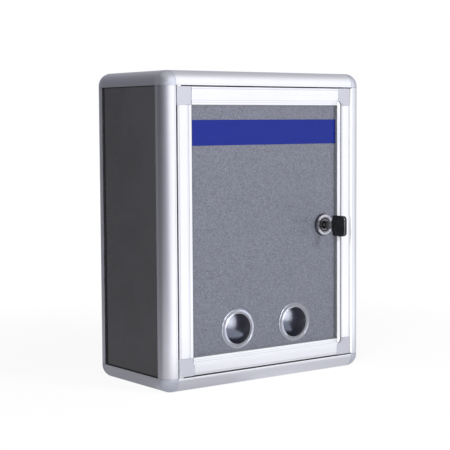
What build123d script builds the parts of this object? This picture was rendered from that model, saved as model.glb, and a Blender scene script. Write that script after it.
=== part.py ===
from build123d import *
import math
import os

# Wall-mounted ballot box with an aluminium frame and a framed front door.
# Millimetres. X runs to the right as seen from the front, the front faces -Y and Z is up.
# The origin is under the middle of the whole object, on the surface that it stands on.

# Case
CASE_WIDTH = 243.0
CASE_DEPTH = 122.0
CASE_HEIGHT = 300.0
FRAME_FACE = 14.0
EDGE_RADIUS = 12.5
WALL = 1.4
SKIN = 1.5
SEAM = 0.15

# Sheet panels of the case and their slots
PANEL_THICKNESS = 3.0
PANEL_RECESS = 2.0
PANEL_PLAY = 0.2
SLOT_DEPTH = 5.0
BAR_EDGE_RADIUS = 0.8
CASE_LINE_INSET = 2.0
CASE_LINE_WIDTH = 0.3
CASE_LINE_DEPTH = 0.25

# Black seals that lie on the sheets along the bars
SEAL_WIDTH = 0.8
SEAL_REAR_WIDTH = 2.2
SEAL_THICKNESS = 0.8
DOOR_SEAL_WIDTH = 1.0
DOOR_SEAL_THICKNESS = 0.6
STRIP_SEAL_WIDTH = 0.3
STRIP_SEAL_THICKNESS = 2.9

# Lip behind the door, which is also the keeper for the cam
STOP_DEPTH = 9.2
STOP_REACH = 4.5
STOP_CLEARANCE = 0.2

# Corner pieces
LEG_LENGTH = 15.0
LEG_FIT = 0.15

# Posting slot in the top panel
POST_SLOT_LENGTH = 150.0
POST_SLOT_WIDTH = 10.0

# Wall screw holes in the back panel
SCREW_HOLE_RADIUS = 2.5
SCREW_SPACING_X = 160.0
SCREW_SPACING_Z = 220.0

# Door
DOOR_SIDE_GAP = 1.5
DOOR_END_GAP = 1.0
DOOR_RECESS = 0.5
DOOR_THICKNESS = 8.2
DOOR_LIP = 2.0
DOOR_BACK_WALL = 2.0
STILE_WIDTH = 16.0
DOOR_RAIL_WIDTH = 17.0
DOOR_SLOT_FLOOR = 10.5
DOOR_SEAM = 0.1
DOOR_EDGE_RADIUS = 0.8
BEAD_RADIUS = 0.6
HINGE_RELIEF = 2.0
FACE_LINE_PLACE = 1.4
FACE_LINE_WIDTH = 0.3
FACE_LINE_DEPTH = 0.3
BEAD_GROOVE_PLACE = 10.3
BEAD_GROOVE_WIDTH = 2.3
BEAD_GROOVE_DEPTH = 0.4
RAIL_GROOVE_PLACE = 5.3
RAIL_GROOVE_WIDTH = 2.1
RAIL_GROOVE_DEPTH = 0.15
BLOCK_LEG_LENGTH = 18.0
BLOCK_STEP = 1.0
BLOCK_TONGUE = 1.4

# Hinge pins and washers
PIN_RADIUS = 1.5
PIN_CLEARANCE = 0.05
PIN_EDGE = 3.2
PIN_DEPTH = 3.0
PIN_IN_DOOR = 9.5
PIN_IN_FRAME = 4.0
PIN_END_PLAY = 0.3
WASHER_RADIUS = 2.7
WASHER_THICKNESS = 0.8

# Coloured band on the door panel, below the door's top bar
BAND_DROP = 13.9
BAND_HEIGHT = 24.0
BAND_THICKNESS = 0.3
BAND_MARGIN = 0.1

# Pull strip beside the lock stile
STRIP_SET = 2.0
STRIP_THICKNESS = 1.5
STRIP_REACH = 5.1
STRIP_OVERRUN = 4.5
STRIP_CORNER = 5.0
STRIP_FOOT_THICKNESS = 1.2
STRIP_PLAY = 0.1

# Windows above the door's bottom bar
WINDOW_SPACING = 70.0
WINDOW_CENTRE_X = -2.0
WINDOW_GAP = 2.7
LENS_RADIUS = 19.5
LENS_FLANGE = 1.7
LENS_RIM_RADIUS = 0.9
LENS_COLLAR_RADIUS = 15.2
LENS_WALL = 1.4
LENS_DOME_START = 14.6
LENS_DOME_RISE = 3.9
LENS_COLLAR_BEHIND = 4.5
LENS_FIT = 0.4
RING_RADIUS = 18.5
RING_FIT = 0.15
RING_THICKNESS = 3.5
RING_CHAMFER = 0.8

# Cam lock, placed from the door's free edge and the middle of the case's height
LOCK_EDGE = 34.2
LOCK_DROP = 1.1
FLANGE_RADIUS = 11.3
FLANGE_FRONT_RADIUS = 10.5
FLANGE_EDGE = 0.8
FLANGE_HEIGHT = 3.0
FACE_BORE_RADIUS = 7.9
FACE_BORE_DEPTH = 1.4
FLANGE_NOTCH_ANGLES = [130.0, 172.0, 188.0]
FLANGE_NOTCH_WIDTH = 0.8
FLANGE_NOTCH_DEPTH = 0.5
BARREL_RADIUS = 9.0
BARREL_FLATS = 16.0
BARREL_BEHIND = 12.5
BARREL_FIT = 0.2
THREAD_START = 1.5
THREAD_PITCH = 1.25
THREAD_DEPTH = 0.45
PLUG_BORE_RADIUS = 6.05
PLUG_CLEARANCE = 0.05
PLUG_HEAD_RADIUS = 7.8
PLUG_HEAD_THICKNESS = 0.95
PLUG_SQUARE = 8.0
NUT_ACROSS = 24.0
NUT_THICKNESS = 3.5
NUT_CHAMFER = 0.6

# Cam
CAM_THICKNESS = 2.0
CAM_WIDTH = 14.0
CAM_HOLD = 4.2
CAM_KEEPER_GAP = 0.3
CAM_GAP = 0.1
CAM_CRANK_START = 10.5
CAM_CRANK_RUN = 5.5
CAM_TIP_RADIUS = 4.0

# Cam screw
SCREW_RADIUS = 2.0
SCREW_LENGTH = 4.5
SCREW_FIT = 0.05
SCREW_HEAD_RADIUS = 4.5
SCREW_HEAD_HEIGHT = 2.2
SCREW_HEAD_ROUND = 0.8
SCREW_CROSS_LENGTH = 5.0
SCREW_CROSS_WIDTH = 1.0
SCREW_CROSS_DEPTH = 1.2

# Key
BOW_STANDOFF = 14.1
BOW_LENGTH = 19.6
BOW_HEIGHT = 20.3
BOW_THICKNESS = 3.4
BOW_OUTER_CORNER = 4.0
BOW_INNER_CORNER = 1.5
BOW_EDGE_ROUND = 0.5
BOW_NECK_LENGTH = 3.0
BOW_NECK_HEIGHT = 12.0
BOW_GRIP_MARGIN = 4.5
BOW_GRIP_DEPTH = 0.4
BLADE_HEIGHT = 8.0
BLADE_THICKNESS = 2.1
BLADE_INSERTED = 12.5
BLADE_IN_BOW = 10.0
BLADE_PLAY = 0.15
BLADE_BOW_FIT = 0.05
BLADE_TIP = 2.0
BITTING_START = 1.2
BITTING_PITCH = 2.4
BITTING_DEPTH_SHARES = [0.12, 0.2, 0.08, 0.16]
BITTING_WIDTH = 1.8
BLADE_GROOVE_WIDTH = 1.0
BLADE_GROOVE_DEPTH = 0.5
BLADE_GROOVE_SPACING = 4.0

# One length that every cut runs past the surfaces that it starts from
OVERRUN = 1.0

# Sizes that follow from the ones above
PANEL_SLOT = PANEL_THICKNESS + PANEL_PLAY
SLOT_FLOOR = FRAME_FACE - SLOT_DEPTH
SLOT_FAR = PANEL_RECESS + PANEL_SLOT
INNER_LIP = SLOT_FAR + WALL
STOP_BACK = STOP_DEPTH + WALL
PANEL_EDGE = SLOT_FLOOR + PANEL_PLAY
RAIL_START = FRAME_FACE + SEAM
DOOR_PANEL_DEPTH = DOOR_RECESS + DOOR_LIP
KEY_REACH = BOW_STANDOFF + BOW_LENGTH - DOOR_PANEL_DEPTH
FRONT_Y = (KEY_REACH - CASE_DEPTH) / 2
BACK_Y = FRONT_Y + CASE_DEPTH
HALF_WIDTH = CASE_WIDTH / 2
OPENING_X = HALF_WIDTH - FRAME_FACE
OPENING_TOP = CASE_HEIGHT - FRAME_FACE
DOOR_X = OPENING_X - DOOR_SIDE_GAP
DOOR_BOTTOM = FRAME_FACE + DOOR_END_GAP
DOOR_TOP = OPENING_TOP - DOOR_END_GAP
DOOR_FRONT_Y = FRONT_Y + DOOR_RECESS
PANEL_FRONT_Y = FRONT_Y + DOOR_PANEL_DEPTH
INSIDE_STILE = DOOR_X - STILE_WIDTH
INSIDE_BOTTOM_BAR = DOOR_BOTTOM + DOOR_RAIL_WIDTH
INSIDE_TOP_BAR = DOOR_TOP - DOOR_RAIL_WIDTH
PIN_X = PIN_EDGE - DOOR_X
PIN_Y = DOOR_FRONT_Y + PIN_DEPTH
STRIP_SIDE = INSIDE_STILE - STRIP_SET
BAND_TOP = INSIDE_TOP_BAR - BAND_DROP
WINDOW_CENTRE_Z = INSIDE_BOTTOM_BAR + WINDOW_GAP + LENS_RADIUS
LOCK_X = DOOR_X - LOCK_EDGE
LOCK_Z = CASE_HEIGHT / 2 - LOCK_DROP
LOCK_BACK = PANEL_THICKNESS + BARREL_BEHIND
CAM_TIP_DEPTH = STOP_BACK - DOOR_PANEL_DEPTH + CAM_KEEPER_GAP
CAM_BASE_DEPTH = LOCK_BACK + CAM_GAP
CAM_REACH = LOCK_EDGE + DOOR_SIDE_GAP - STOP_REACH + CAM_HOLD


def block(low, high):
    """Box between two opposite corners."""
    size = [top - bottom for bottom, top in zip(low, high)]
    middle = [(top + bottom) / 2 for bottom, top in zip(low, high)]
    return Pos(*middle) * Box(*size)


def area(low, high):
    """Rectangle between two opposite corners."""
    size = [top - bottom for bottom, top in zip(low, high)]
    middle = [(top + bottom) / 2 for bottom, top in zip(low, high)]
    return Pos(*middle) * Rectangle(*size)


def run(section, origin, u, v, direction, length):
    """Extrude a section whose two axes point along u and v."""
    plane = Plane(origin=origin, x_dir=u, z_dir=Vector(*u).cross(Vector(*v)))
    return extrude(plane * section, amount=length, dir=direction)


def spun(profile, x, z):
    """Turn a profile of radius and depth behind the panel's front about an axis along Y."""
    plane = Plane(origin=(x, PANEL_FRONT_Y, z), x_dir=(1, 0, 0), z_dir=(0, 0, 1))
    axis = Axis((x, PANEL_FRONT_Y, z), (0, 1, 0))
    return revolve(plane * profile, axis=axis)


def bore(x, z, radius, start, end):
    """Round cutter along Y between two depths behind the panel's front."""
    middle = PANEL_FRONT_Y + (start + end) / 2
    return Pos(x, middle, z) * Rot(90, 0, 0) * Cylinder(radius, end - start)


# Extrusions of the case

def rounded_square(inset):
    """Frame face square with its outer corner rounded, shrunk on its outer sides by an inset."""
    square = area((inset, inset), (FRAME_FACE, FRAME_FACE))
    outer = square.vertices().sort_by(lambda vertex: vertex.X + vertex.Y)[0]
    return fillet(outer, EDGE_RADIUS - inset)


def double_slot_chamber(fit=0):
    """Hollow of the extrusion with two panel slots, drawn in by a fit for what plugs into it."""
    long_side = SLOT_FLOOR - WALL - fit
    short_side = SLOT_FAR - fit
    arms = area((0, 0), (long_side, short_side)) + area((0, 0), (short_side, long_side))
    return rounded_square(SKIN + fit) & arms


def double_slot_section():
    """Corner extrusion with a panel slot along each inner edge."""
    body = rounded_square(0)
    body -= area((INNER_LIP, INNER_LIP), (FRAME_FACE, FRAME_FACE))
    body -= area((SLOT_FLOOR, PANEL_RECESS), (FRAME_FACE, SLOT_FAR))
    body -= area((PANEL_RECESS, SLOT_FLOOR), (SLOT_FAR, FRAME_FACE))
    return body - double_slot_chamber()


def front_chamber(fit=0):
    """Hollow of the front extrusion, drawn in by a fit for what plugs into it."""
    space = area((0, 0), (FRAME_FACE - WALL - fit, STOP_DEPTH - fit))
    space -= area((0, SLOT_FLOOR - WALL - fit), (INNER_LIP + fit, STOP_DEPTH))
    return rounded_square(SKIN + fit) & space


def front_section():
    """Front extrusion: a panel slot behind, the door's reveal inside and the stop lip."""
    line_start = FRAME_FACE - CASE_LINE_INSET
    body = rounded_square(0)
    opening_edge = body.vertices().sort_by(lambda vertex: vertex.Y - vertex.X)[0]
    body = fillet(opening_edge, BAR_EDGE_RADIUS)
    body -= area((line_start, 0), (line_start + CASE_LINE_WIDTH, CASE_LINE_DEPTH))
    body += area((FRAME_FACE - WALL, STOP_DEPTH), (FRAME_FACE + STOP_REACH, STOP_BACK))
    body -= area((INNER_LIP, STOP_BACK), (FRAME_FACE, FRAME_FACE))
    body -= area((PANEL_RECESS, SLOT_FLOOR), (SLOT_FAR, FRAME_FACE))
    return body - front_chamber()


def front_post(side):
    """Upright front extrusion on one side, with its lip pointing into the opening."""
    origin = (side * HALF_WIDTH, FRONT_Y, RAIL_START)
    length = CASE_HEIGHT - 2 * RAIL_START
    return run(front_section(), origin, (-side, 0, 0), (0, 1, 0), (0, 0, 1), length)


def back_post(side):
    """Upright rear extrusion on one side."""
    origin = (side * HALF_WIDTH, BACK_Y, RAIL_START)
    length = CASE_HEIGHT - 2 * RAIL_START
    return run(double_slot_section(), origin, (-side, 0, 0), (0, -1, 0), (0, 0, 1), length)


def front_rail(plane_z, inward):
    """Horizontal front extrusion with its lip cut back for the posts and a hole for a hinge pin."""
    origin = (RAIL_START - HALF_WIDTH, FRONT_Y, plane_z)
    length = CASE_WIDTH - 2 * RAIL_START
    rail = run(front_section(), origin, (0, 0, inward), (0, 1, 0), (1, 0, 0), length)
    lip_end = OPENING_X - STOP_REACH - STOP_CLEARANCE
    reveal_z = plane_z + inward * FRAME_FACE
    lip_z = reveal_z + inward * (STOP_REACH + OVERRUN)
    for side in (-1, 1):
        xs = sorted((side * lip_end, side * (OPENING_X + OVERRUN)))
        zs = sorted((reveal_z, lip_z))
        low = (xs[0], FRONT_Y + STOP_DEPTH - OVERRUN, zs[0])
        high = (xs[1], FRONT_Y + STOP_BACK + OVERRUN, zs[1])
        rail -= block(low, high)
    return rail - pin_hole(reveal_z - inward * WALL / 2, WALL + OVERRUN)


def back_rail(plane_z, inward):
    """Horizontal rear extrusion."""
    origin = (RAIL_START - HALF_WIDTH, BACK_Y, plane_z)
    length = CASE_WIDTH - 2 * RAIL_START
    return run(double_slot_section(), origin, (0, 0, inward), (0, -1, 0), (1, 0, 0), length)


def side_rail(side, plane_z, inward):
    """Horizontal extrusion from front to back on one side."""
    origin = (side * HALF_WIDTH, FRONT_Y + RAIL_START, plane_z)
    length = CASE_DEPTH - 2 * RAIL_START
    return run(double_slot_section(), origin, (-side, 0, 0), (0, 0, inward), (0, 1, 0), length)


# Ball corners of the case

def ball_cube():
    """Cube of the frame's face with its outer corner rounded into a ball."""
    cube = block((0, 0, 0), (FRAME_FACE, FRAME_FACE, FRAME_FACE))
    corner = cube.vertices().sort_by(lambda vertex: vertex.X + vertex.Y + vertex.Z)[0]
    edges = [edge for edge in cube.edges() if corner in edge.vertices()]
    return fillet(edges, EDGE_RADIUS)


def corner_leg(section, u, v, direction):
    """Leg that plugs into the extrusion running in one direction."""
    start = Vector(*direction) * (FRAME_FACE - OVERRUN)
    return run(section, start, u, v, direction, LEG_LENGTH + OVERRUN)


def corner_piece(front):
    """Corner in inward distances from the three outer planes of the case."""
    side_leg = double_slot_chamber(LEG_FIT)
    front_leg = front_chamber(LEG_FIT) if front else side_leg
    inner_y = STOP_BACK if front else INNER_LIP
    far = FRAME_FACE + OVERRUN
    piece = ball_cube()
    piece -= block((INNER_LIP, inner_y, INNER_LIP), (far, far, far))
    piece -= block((PANEL_RECESS, SLOT_FLOOR, SLOT_FLOOR), (SLOT_FAR, far, far))
    piece -= block((SLOT_FLOOR, SLOT_FLOOR, PANEL_RECESS), (far, far, SLOT_FAR))
    if not front:
        piece -= block((SLOT_FLOOR, PANEL_RECESS, SLOT_FLOOR), (far, SLOT_FAR, far))
    piece += corner_leg(front_leg, (1, 0, 0), (0, 1, 0), (0, 0, 1))
    piece += corner_leg(front_leg, (0, 0, 1), (0, 1, 0), (1, 0, 0))
    piece += corner_leg(side_leg, (1, 0, 0), (0, 0, 1), (0, 1, 0))
    return piece


def placed_corner(piece, left, front, bottom):
    """Move a corner piece to one corner of the case, mirrored where it has to be."""
    placed = Pos(-HALF_WIDTH, FRONT_Y, 0) * piece
    if not front:
        placed = mirror(placed, about=Plane.XZ.offset(-(FRONT_Y + BACK_Y) / 2))
    if not left:
        placed = mirror(placed, about=Plane.YZ)
    if not bottom:
        placed = mirror(placed, about=Plane.XY.offset(CASE_HEIGHT / 2))
    return placed


# Sheet panels of the case

def side_panel(side):
    """Sheet between the posts on one side."""
    outer = side * (HALF_WIDTH - PANEL_RECESS)
    xs = sorted((outer, outer - side * PANEL_THICKNESS))
    low = (xs[0], FRONT_Y + PANEL_EDGE, PANEL_EDGE)
    high = (xs[1], BACK_Y - PANEL_EDGE, CASE_HEIGHT - PANEL_EDGE)
    return block(low, high)


def level_panel(outer_z, inward):
    """Sheet between the rails at the top or the bottom."""
    zs = sorted((outer_z, outer_z + inward * PANEL_THICKNESS))
    low = (PANEL_EDGE - HALF_WIDTH, FRONT_Y + PANEL_EDGE, zs[0])
    high = (HALF_WIDTH - PANEL_EDGE, BACK_Y - PANEL_EDGE, zs[1])
    return block(low, high)


def top_panel():
    """Top sheet with the posting slot."""
    sheet = level_panel(CASE_HEIGHT - PANEL_RECESS, -1)
    middle = (0, (FRONT_Y + BACK_Y) / 2, CASE_HEIGHT - PANEL_RECESS - PANEL_THICKNESS / 2)
    slot = SlotOverall(POST_SLOT_LENGTH, POST_SLOT_WIDTH)
    return sheet - extrude(Pos(*middle) * slot, PANEL_THICKNESS, both=True)


def back_panel():
    """Rear sheet with four round holes for wall screws."""
    outer = BACK_Y - PANEL_RECESS
    low = (PANEL_EDGE - HALF_WIDTH, outer - PANEL_THICKNESS, PANEL_EDGE)
    high = (HALF_WIDTH - PANEL_EDGE, outer, CASE_HEIGHT - PANEL_EDGE)
    sheet = block(low, high)
    drill = Rot(90, 0, 0) * Cylinder(SCREW_HOLE_RADIUS, PANEL_THICKNESS + OVERRUN)
    for x in (-SCREW_SPACING_X / 2, SCREW_SPACING_X / 2):
        for rise in (-SCREW_SPACING_Z / 2, SCREW_SPACING_Z / 2):
            sheet -= Pos(x, outer - PANEL_THICKNESS / 2, CASE_HEIGHT / 2 + rise) * drill
    return sheet


def sheet_seal(low, high, normal):
    """Seal along the edges of a sheet, inside a box that is flat along one axis."""
    inner_low = [value + SEAL_WIDTH for value in low]
    inner_high = [value - SEAL_WIDTH for value in high]
    inner_low[normal] = low[normal] - OVERRUN
    inner_high[normal] = high[normal] + OVERRUN
    return block(low, high) - block(inner_low, inner_high)


def side_seal(side):
    """Seal on a side sheet, wider along the rear post."""
    outer = side * (HALF_WIDTH - PANEL_RECESS)
    xs = sorted((outer, outer + side * SEAL_THICKNESS))
    rear = BACK_Y - FRAME_FACE
    seal = sheet_seal((xs[0], FRONT_Y + FRAME_FACE, FRAME_FACE), (xs[1], rear, OPENING_TOP), 0)
    return seal + block((xs[0], rear - SEAL_REAR_WIDTH, FRAME_FACE), (xs[1], rear, OPENING_TOP))


def level_seal(outer_z, outward):
    """Seal on the top or the bottom sheet."""
    zs = sorted((outer_z, outer_z + outward * SEAL_THICKNESS))
    low = (-OPENING_X, FRONT_Y + FRAME_FACE, zs[0])
    return sheet_seal(low, (OPENING_X, BACK_Y - FRAME_FACE, zs[1]), 2)


def back_seal():
    """Seal on the rear sheet."""
    outer = BACK_Y - PANEL_RECESS
    return sheet_seal((-OPENING_X, outer, FRAME_FACE), (OPENING_X, outer + SEAL_THICKNESS, OPENING_TOP), 1)


# Hinge

def pin_hole(middle_z, length):
    """Cutter for the running fit of a hinge pin."""
    return Pos(PIN_X, PIN_Y, middle_z) * Cylinder(PIN_RADIUS + PIN_CLEARANCE, length)


def hinge_pin(door_edge_z, outward):
    """Pin from the door's corner block through the gap into the frame."""
    length = PIN_IN_DOOR + DOOR_END_GAP + PIN_IN_FRAME
    middle = door_edge_z + outward * (length / 2 - PIN_IN_DOOR)
    return Pos(PIN_X, PIN_Y, middle) * Cylinder(PIN_RADIUS, length)


def pivot_washer(frame_edge_z, inward):
    """Washer round the pin in the gap, lying against the frame."""
    disc = Cylinder(WASHER_RADIUS, WASHER_THICKNESS)
    disc -= Cylinder(PIN_RADIUS + PIN_CLEARANCE, WASHER_THICKNESS + OVERRUN)
    return Pos(PIN_X, PIN_Y, frame_edge_z + inward * WASHER_THICKNESS / 2) * disc


def frame_pin_hole(outward):
    """Cutter for the pin's seat in the leg of a corner piece, at the top or the bottom."""
    edge = DOOR_TOP + DOOR_END_GAP if outward > 0 else DOOR_BOTTOM - DOOR_END_GAP
    length = PIN_IN_FRAME + PIN_END_PLAY
    return pin_hole(edge + outward * length / 2, length)


# Door frame

def door_bar_chamber(fit=0):
    """Hollow of the door's extrusion, drawn in by a fit for what plugs into it."""
    low = WALL + fit
    return area((low, low), (DOOR_SLOT_FLOOR - low, DOOR_THICKNESS - DOOR_BACK_WALL - fit))


def door_outline(width, hinged):
    """Outer shape of a door bar: soft front edges, and a relieved rear edge at the hinge."""
    outline = area((0, 0), (width, DOOR_THICKNESS))
    if hinged:
        rear = outline.vertices().sort_by(lambda vertex: vertex.X - vertex.Y)[0]
        outline = chamfer(rear, HINGE_RELIEF)
    outer = outline.vertices().sort_by(lambda vertex: vertex.X + vertex.Y)[0]
    outline = fillet(outer, DOOR_EDGE_RADIUS)
    inner = outline.vertices().sort_by(lambda vertex: vertex.Y - vertex.X)[0]
    return fillet(inner, BEAD_RADIUS)


def door_bar_section(width, hinged=False):
    """Door extrusion: tube, panel slot, face line and bead groove."""
    slot_back = DOOR_LIP + PANEL_SLOT
    line_end = FACE_LINE_PLACE + FACE_LINE_WIDTH
    groove_end = BEAD_GROOVE_PLACE + BEAD_GROOVE_WIDTH
    section = door_outline(width, hinged)
    section -= area((DOOR_SLOT_FLOOR, DOOR_LIP), (width, slot_back))
    section -= area((DOOR_SLOT_FLOOR, slot_back + WALL), (width, DOOR_THICKNESS))
    section -= area((FACE_LINE_PLACE, 0), (line_end, FACE_LINE_DEPTH))
    section -= area((BEAD_GROOVE_PLACE, 0), (groove_end, BEAD_GROOVE_DEPTH))
    return section - door_bar_chamber()


def stile(side):
    """Upright bar of the door frame on one side."""
    start = INSIDE_BOTTOM_BAR + DOOR_SEAM
    length = INSIDE_TOP_BAR - DOOR_SEAM - start
    section = door_bar_section(STILE_WIDTH, hinged=side < 0)
    origin = (side * DOOR_X, DOOR_FRONT_Y, start)
    return run(section, origin, (-side, 0, 0), (0, 1, 0), (0, 0, 1), length)


def door_rail(edge_z, inward):
    """Horizontal bar of the door frame, with a second groove along its face."""
    start = DOOR_SEAM - INSIDE_STILE
    origin = (start, DOOR_FRONT_Y, edge_z)
    groove_end = RAIL_GROOVE_PLACE + RAIL_GROOVE_WIDTH
    section = door_bar_section(DOOR_RAIL_WIDTH)
    section -= area((RAIL_GROOVE_PLACE, 0), (groove_end, RAIL_GROOVE_DEPTH))
    return run(section, origin, (0, 0, inward), (0, 1, 0), (1, 0, 0), -2 * start)


def door_bottom_rail():
    """Lower bar, whose front wall is cut back for the tongues of the lower blocks."""
    rail = door_rail(DOOR_BOTTOM, 1)
    wall_end = DOOR_FRONT_Y + WALL
    for side in (-1, 1):
        inner = side * (INSIDE_STILE - DOOR_SEAM - BLOCK_TONGUE)
        xs = sorted((inner, side * INSIDE_STILE))
        low = (xs[0], DOOR_FRONT_Y - OVERRUN, DOOR_BOTTOM - OVERRUN)
        rail -= block(low, (xs[1], wall_end, DOOR_BOTTOM + BEAD_GROOVE_PLACE))
    return rail


def block_tongue():
    """Tongue of a lower block in the front wall of the lower bar."""
    face = area((0, 0), (BEAD_GROOVE_PLACE - DOOR_SEAM, WALL - DOOR_SEAM))
    face &= door_outline(DOOR_RAIL_WIDTH, hinged=False)
    start = (STILE_WIDTH - OVERRUN, 0, 0)
    return run(face, start, (0, 0, 1), (0, 1, 0), (1, 0, 0), BLOCK_TONGUE + OVERRUN)


def door_corner(side, upper):
    """Moulded block that joins two door bars, with the hinge pin's hole on the hinge side."""
    slot_back = DOOR_LIP + PANEL_SLOT
    outline = door_outline(STILE_WIDTH, hinged=side < 0)
    body = run(outline, (0, 0, 0), (1, 0, 0), (0, 1, 0), (0, 0, 1), DOOR_RAIL_WIDTH)
    far_x = STILE_WIDTH + OVERRUN
    far_z = DOOR_RAIL_WIDTH + OVERRUN
    floor = DOOR_SLOT_FLOOR
    body -= block((floor, DOOR_LIP, floor), (far_x, slot_back, far_z))
    body -= block((floor, slot_back + WALL, floor), (far_x, DOOR_THICKNESS + OVERRUN, far_z))
    if upper:
        step_low = (STILE_WIDTH - BLOCK_STEP, -OVERRUN, DOOR_RAIL_WIDTH - BLOCK_STEP)
        body -= block(step_low, (far_x, BEAD_GROOVE_DEPTH, far_z))
    else:
        body += block_tongue()
    leg = door_bar_chamber(LEG_FIT)
    leg_length = BLOCK_LEG_LENGTH + OVERRUN
    up_start = (0, 0, DOOR_RAIL_WIDTH - OVERRUN)
    body += run(leg, up_start, (1, 0, 0), (0, 1, 0), (0, 0, 1), leg_length)
    side_start = (STILE_WIDTH - OVERRUN, 0, 0)
    body += run(leg, side_start, (0, 0, 1), (0, 1, 0), (1, 0, 0), leg_length)
    placed = Pos(-DOOR_X, DOOR_FRONT_Y, DOOR_BOTTOM) * body
    if side > 0:
        placed = mirror(placed, about=Plane.YZ)
    if upper:
        placed = mirror(placed, about=Plane.XY.offset(CASE_HEIGHT / 2))
    if side < 0:
        edge = DOOR_TOP if upper else DOOR_BOTTOM
        outward = 1 if upper else -1
        length = 2 * (PIN_IN_DOOR + PIN_END_PLAY)
        placed -= pin_hole(edge, length)
    return placed


# Door panel and what it carries

def lock_hole():
    """Round hole with two flats, which keeps the lock from turning."""
    flats = area((-BARREL_FLATS / 2 - BARREL_FIT, -BARREL_RADIUS - BARREL_FIT),
                 (BARREL_FLATS / 2 + BARREL_FIT, BARREL_RADIUS + BARREL_FIT))
    shape = Circle(BARREL_RADIUS + BARREL_FIT) & flats
    origin = (LOCK_X, PANEL_FRONT_Y - OVERRUN, LOCK_Z)
    return run(shape, origin, (1, 0, 0), (0, 0, 1), (0, 1, 0), PANEL_THICKNESS + 2 * OVERRUN)


def door_panel():
    """Sheet of the door with holes for the lock and the two windows."""
    edge = DOOR_SLOT_FLOOR + PANEL_PLAY
    low = (edge - DOOR_X, PANEL_FRONT_Y, DOOR_BOTTOM + edge)
    high = (DOOR_X - edge, PANEL_FRONT_Y + PANEL_THICKNESS, DOOR_TOP - edge)
    sheet = block(low, high) - lock_hole()
    for x in window_places():
        radius = LENS_COLLAR_RADIUS + LENS_FIT
        sheet -= bore(x, WINDOW_CENTRE_Z, radius, -OVERRUN, PANEL_THICKNESS + OVERRUN)
    return sheet


def header_band():
    """Thin coloured film across the panel, left bare."""
    low = (BAND_MARGIN - INSIDE_STILE, PANEL_FRONT_Y - BAND_THICKNESS, BAND_TOP - BAND_HEIGHT)
    high = (STRIP_SIDE - BAND_MARGIN, PANEL_FRONT_Y, BAND_TOP)
    return block(low, high)


def door_seal():
    """Seal on the door's sheet along the bars, higher beside the pull strip."""
    left = -INSIDE_STILE
    base = PANEL_FRONT_Y
    seal = block((left, base - DOOR_SEAL_THICKNESS, INSIDE_BOTTOM_BAR), (STRIP_SIDE, base, INSIDE_TOP_BAR))
    seal += block((STRIP_SIDE - STRIP_SEAL_WIDTH, base - STRIP_SEAL_THICKNESS, INSIDE_BOTTOM_BAR),
                  (STRIP_SIDE, base, INSIDE_TOP_BAR))
    low = (left + DOOR_SEAL_WIDTH, base - STRIP_SEAL_THICKNESS, INSIDE_BOTTOM_BAR + DOOR_SEAL_WIDTH)
    high = (STRIP_SIDE - STRIP_SEAL_WIDTH, base + OVERRUN, INSIDE_TOP_BAR - DOOR_SEAL_WIDTH)
    return seal - block(low, high) - header_band()


def pull_strip():
    """Angle strip with rounded ends that stands on the panel beside the lock stile."""
    inner_bottom = INSIDE_BOTTOM_BAR + STRIP_PLAY
    inner_top = INSIDE_TOP_BAR - STRIP_PLAY
    outer_side = STRIP_SIDE + STRIP_THICKNESS
    proud = DOOR_FRONT_Y - STRIP_PLAY
    front = FRONT_Y - STRIP_REACH
    low_end = inner_bottom - STRIP_OVERRUN
    high_end = inner_top + STRIP_OVERRUN
    fin = block((STRIP_SIDE, front, low_end), (outer_side, proud, high_end))
    ends = fin.edges().filter_by(Axis.X).group_by(Axis.Y)[0]
    fin = fillet(ends, STRIP_CORNER)
    web = block((STRIP_SIDE, proud - STRIP_PLAY, inner_bottom), (outer_side, PANEL_FRONT_Y, inner_top))
    foot_side = INSIDE_STILE - STRIP_PLAY
    foot_low = (STRIP_SIDE, PANEL_FRONT_Y - STRIP_FOOT_THICKNESS, inner_bottom)
    foot = block(foot_low, (foot_side, PANEL_FRONT_Y, inner_top))
    return fin + web + foot


def window_places():
    """Horizontal places of the two windows."""
    return [WINDOW_CENTRE_X - WINDOW_SPACING / 2, WINDOW_CENTRE_X + WINDOW_SPACING / 2]


def window_lens(x):
    """Clear flanged dome whose collar goes through the panel."""
    inner = LENS_COLLAR_RADIUS - LENS_WALL
    end = PANEL_THICKNESS + LENS_COLLAR_BEHIND
    top = -LENS_FLANGE - LENS_DOME_RISE
    rim_start = (LENS_RADIUS, LENS_RIM_RADIUS - LENS_FLANGE)
    rim_end = (LENS_RADIUS - LENS_RIM_RADIUS, -LENS_FLANGE)
    shape = Polyline((LENS_RADIUS, 0), rim_start)
    shape += TangentArc(rim_start, rim_end, tangent=(0, -1))
    shape += Line(rim_end, (LENS_DOME_START, -LENS_FLANGE))
    shape += dome_arc(LENS_DOME_START, -LENS_FLANGE, top)
    shape += Line((0, top), (0, top + LENS_WALL))
    shape += dome_arc(inner, LENS_WALL - LENS_FLANGE, top + LENS_WALL)
    shape += Polyline((inner, LENS_WALL - LENS_FLANGE), (inner, end), (LENS_COLLAR_RADIUS, end),
                      (LENS_COLLAR_RADIUS, 0), (LENS_RADIUS, 0))
    return spun(make_face(shape), x, WINDOW_CENTRE_Z)


def dome_arc(radius, edge, top):
    """Arc of a shallow dome, from its edge to its top on the axis."""
    rise = edge - top
    ball = (radius * radius + rise * rise) / (2 * rise)
    half = math.asin(radius / ball) / 2
    middle = (ball * math.sin(half), top + ball - ball * math.cos(half))
    return ThreePointArc((radius, edge), middle, (0, top))


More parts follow.
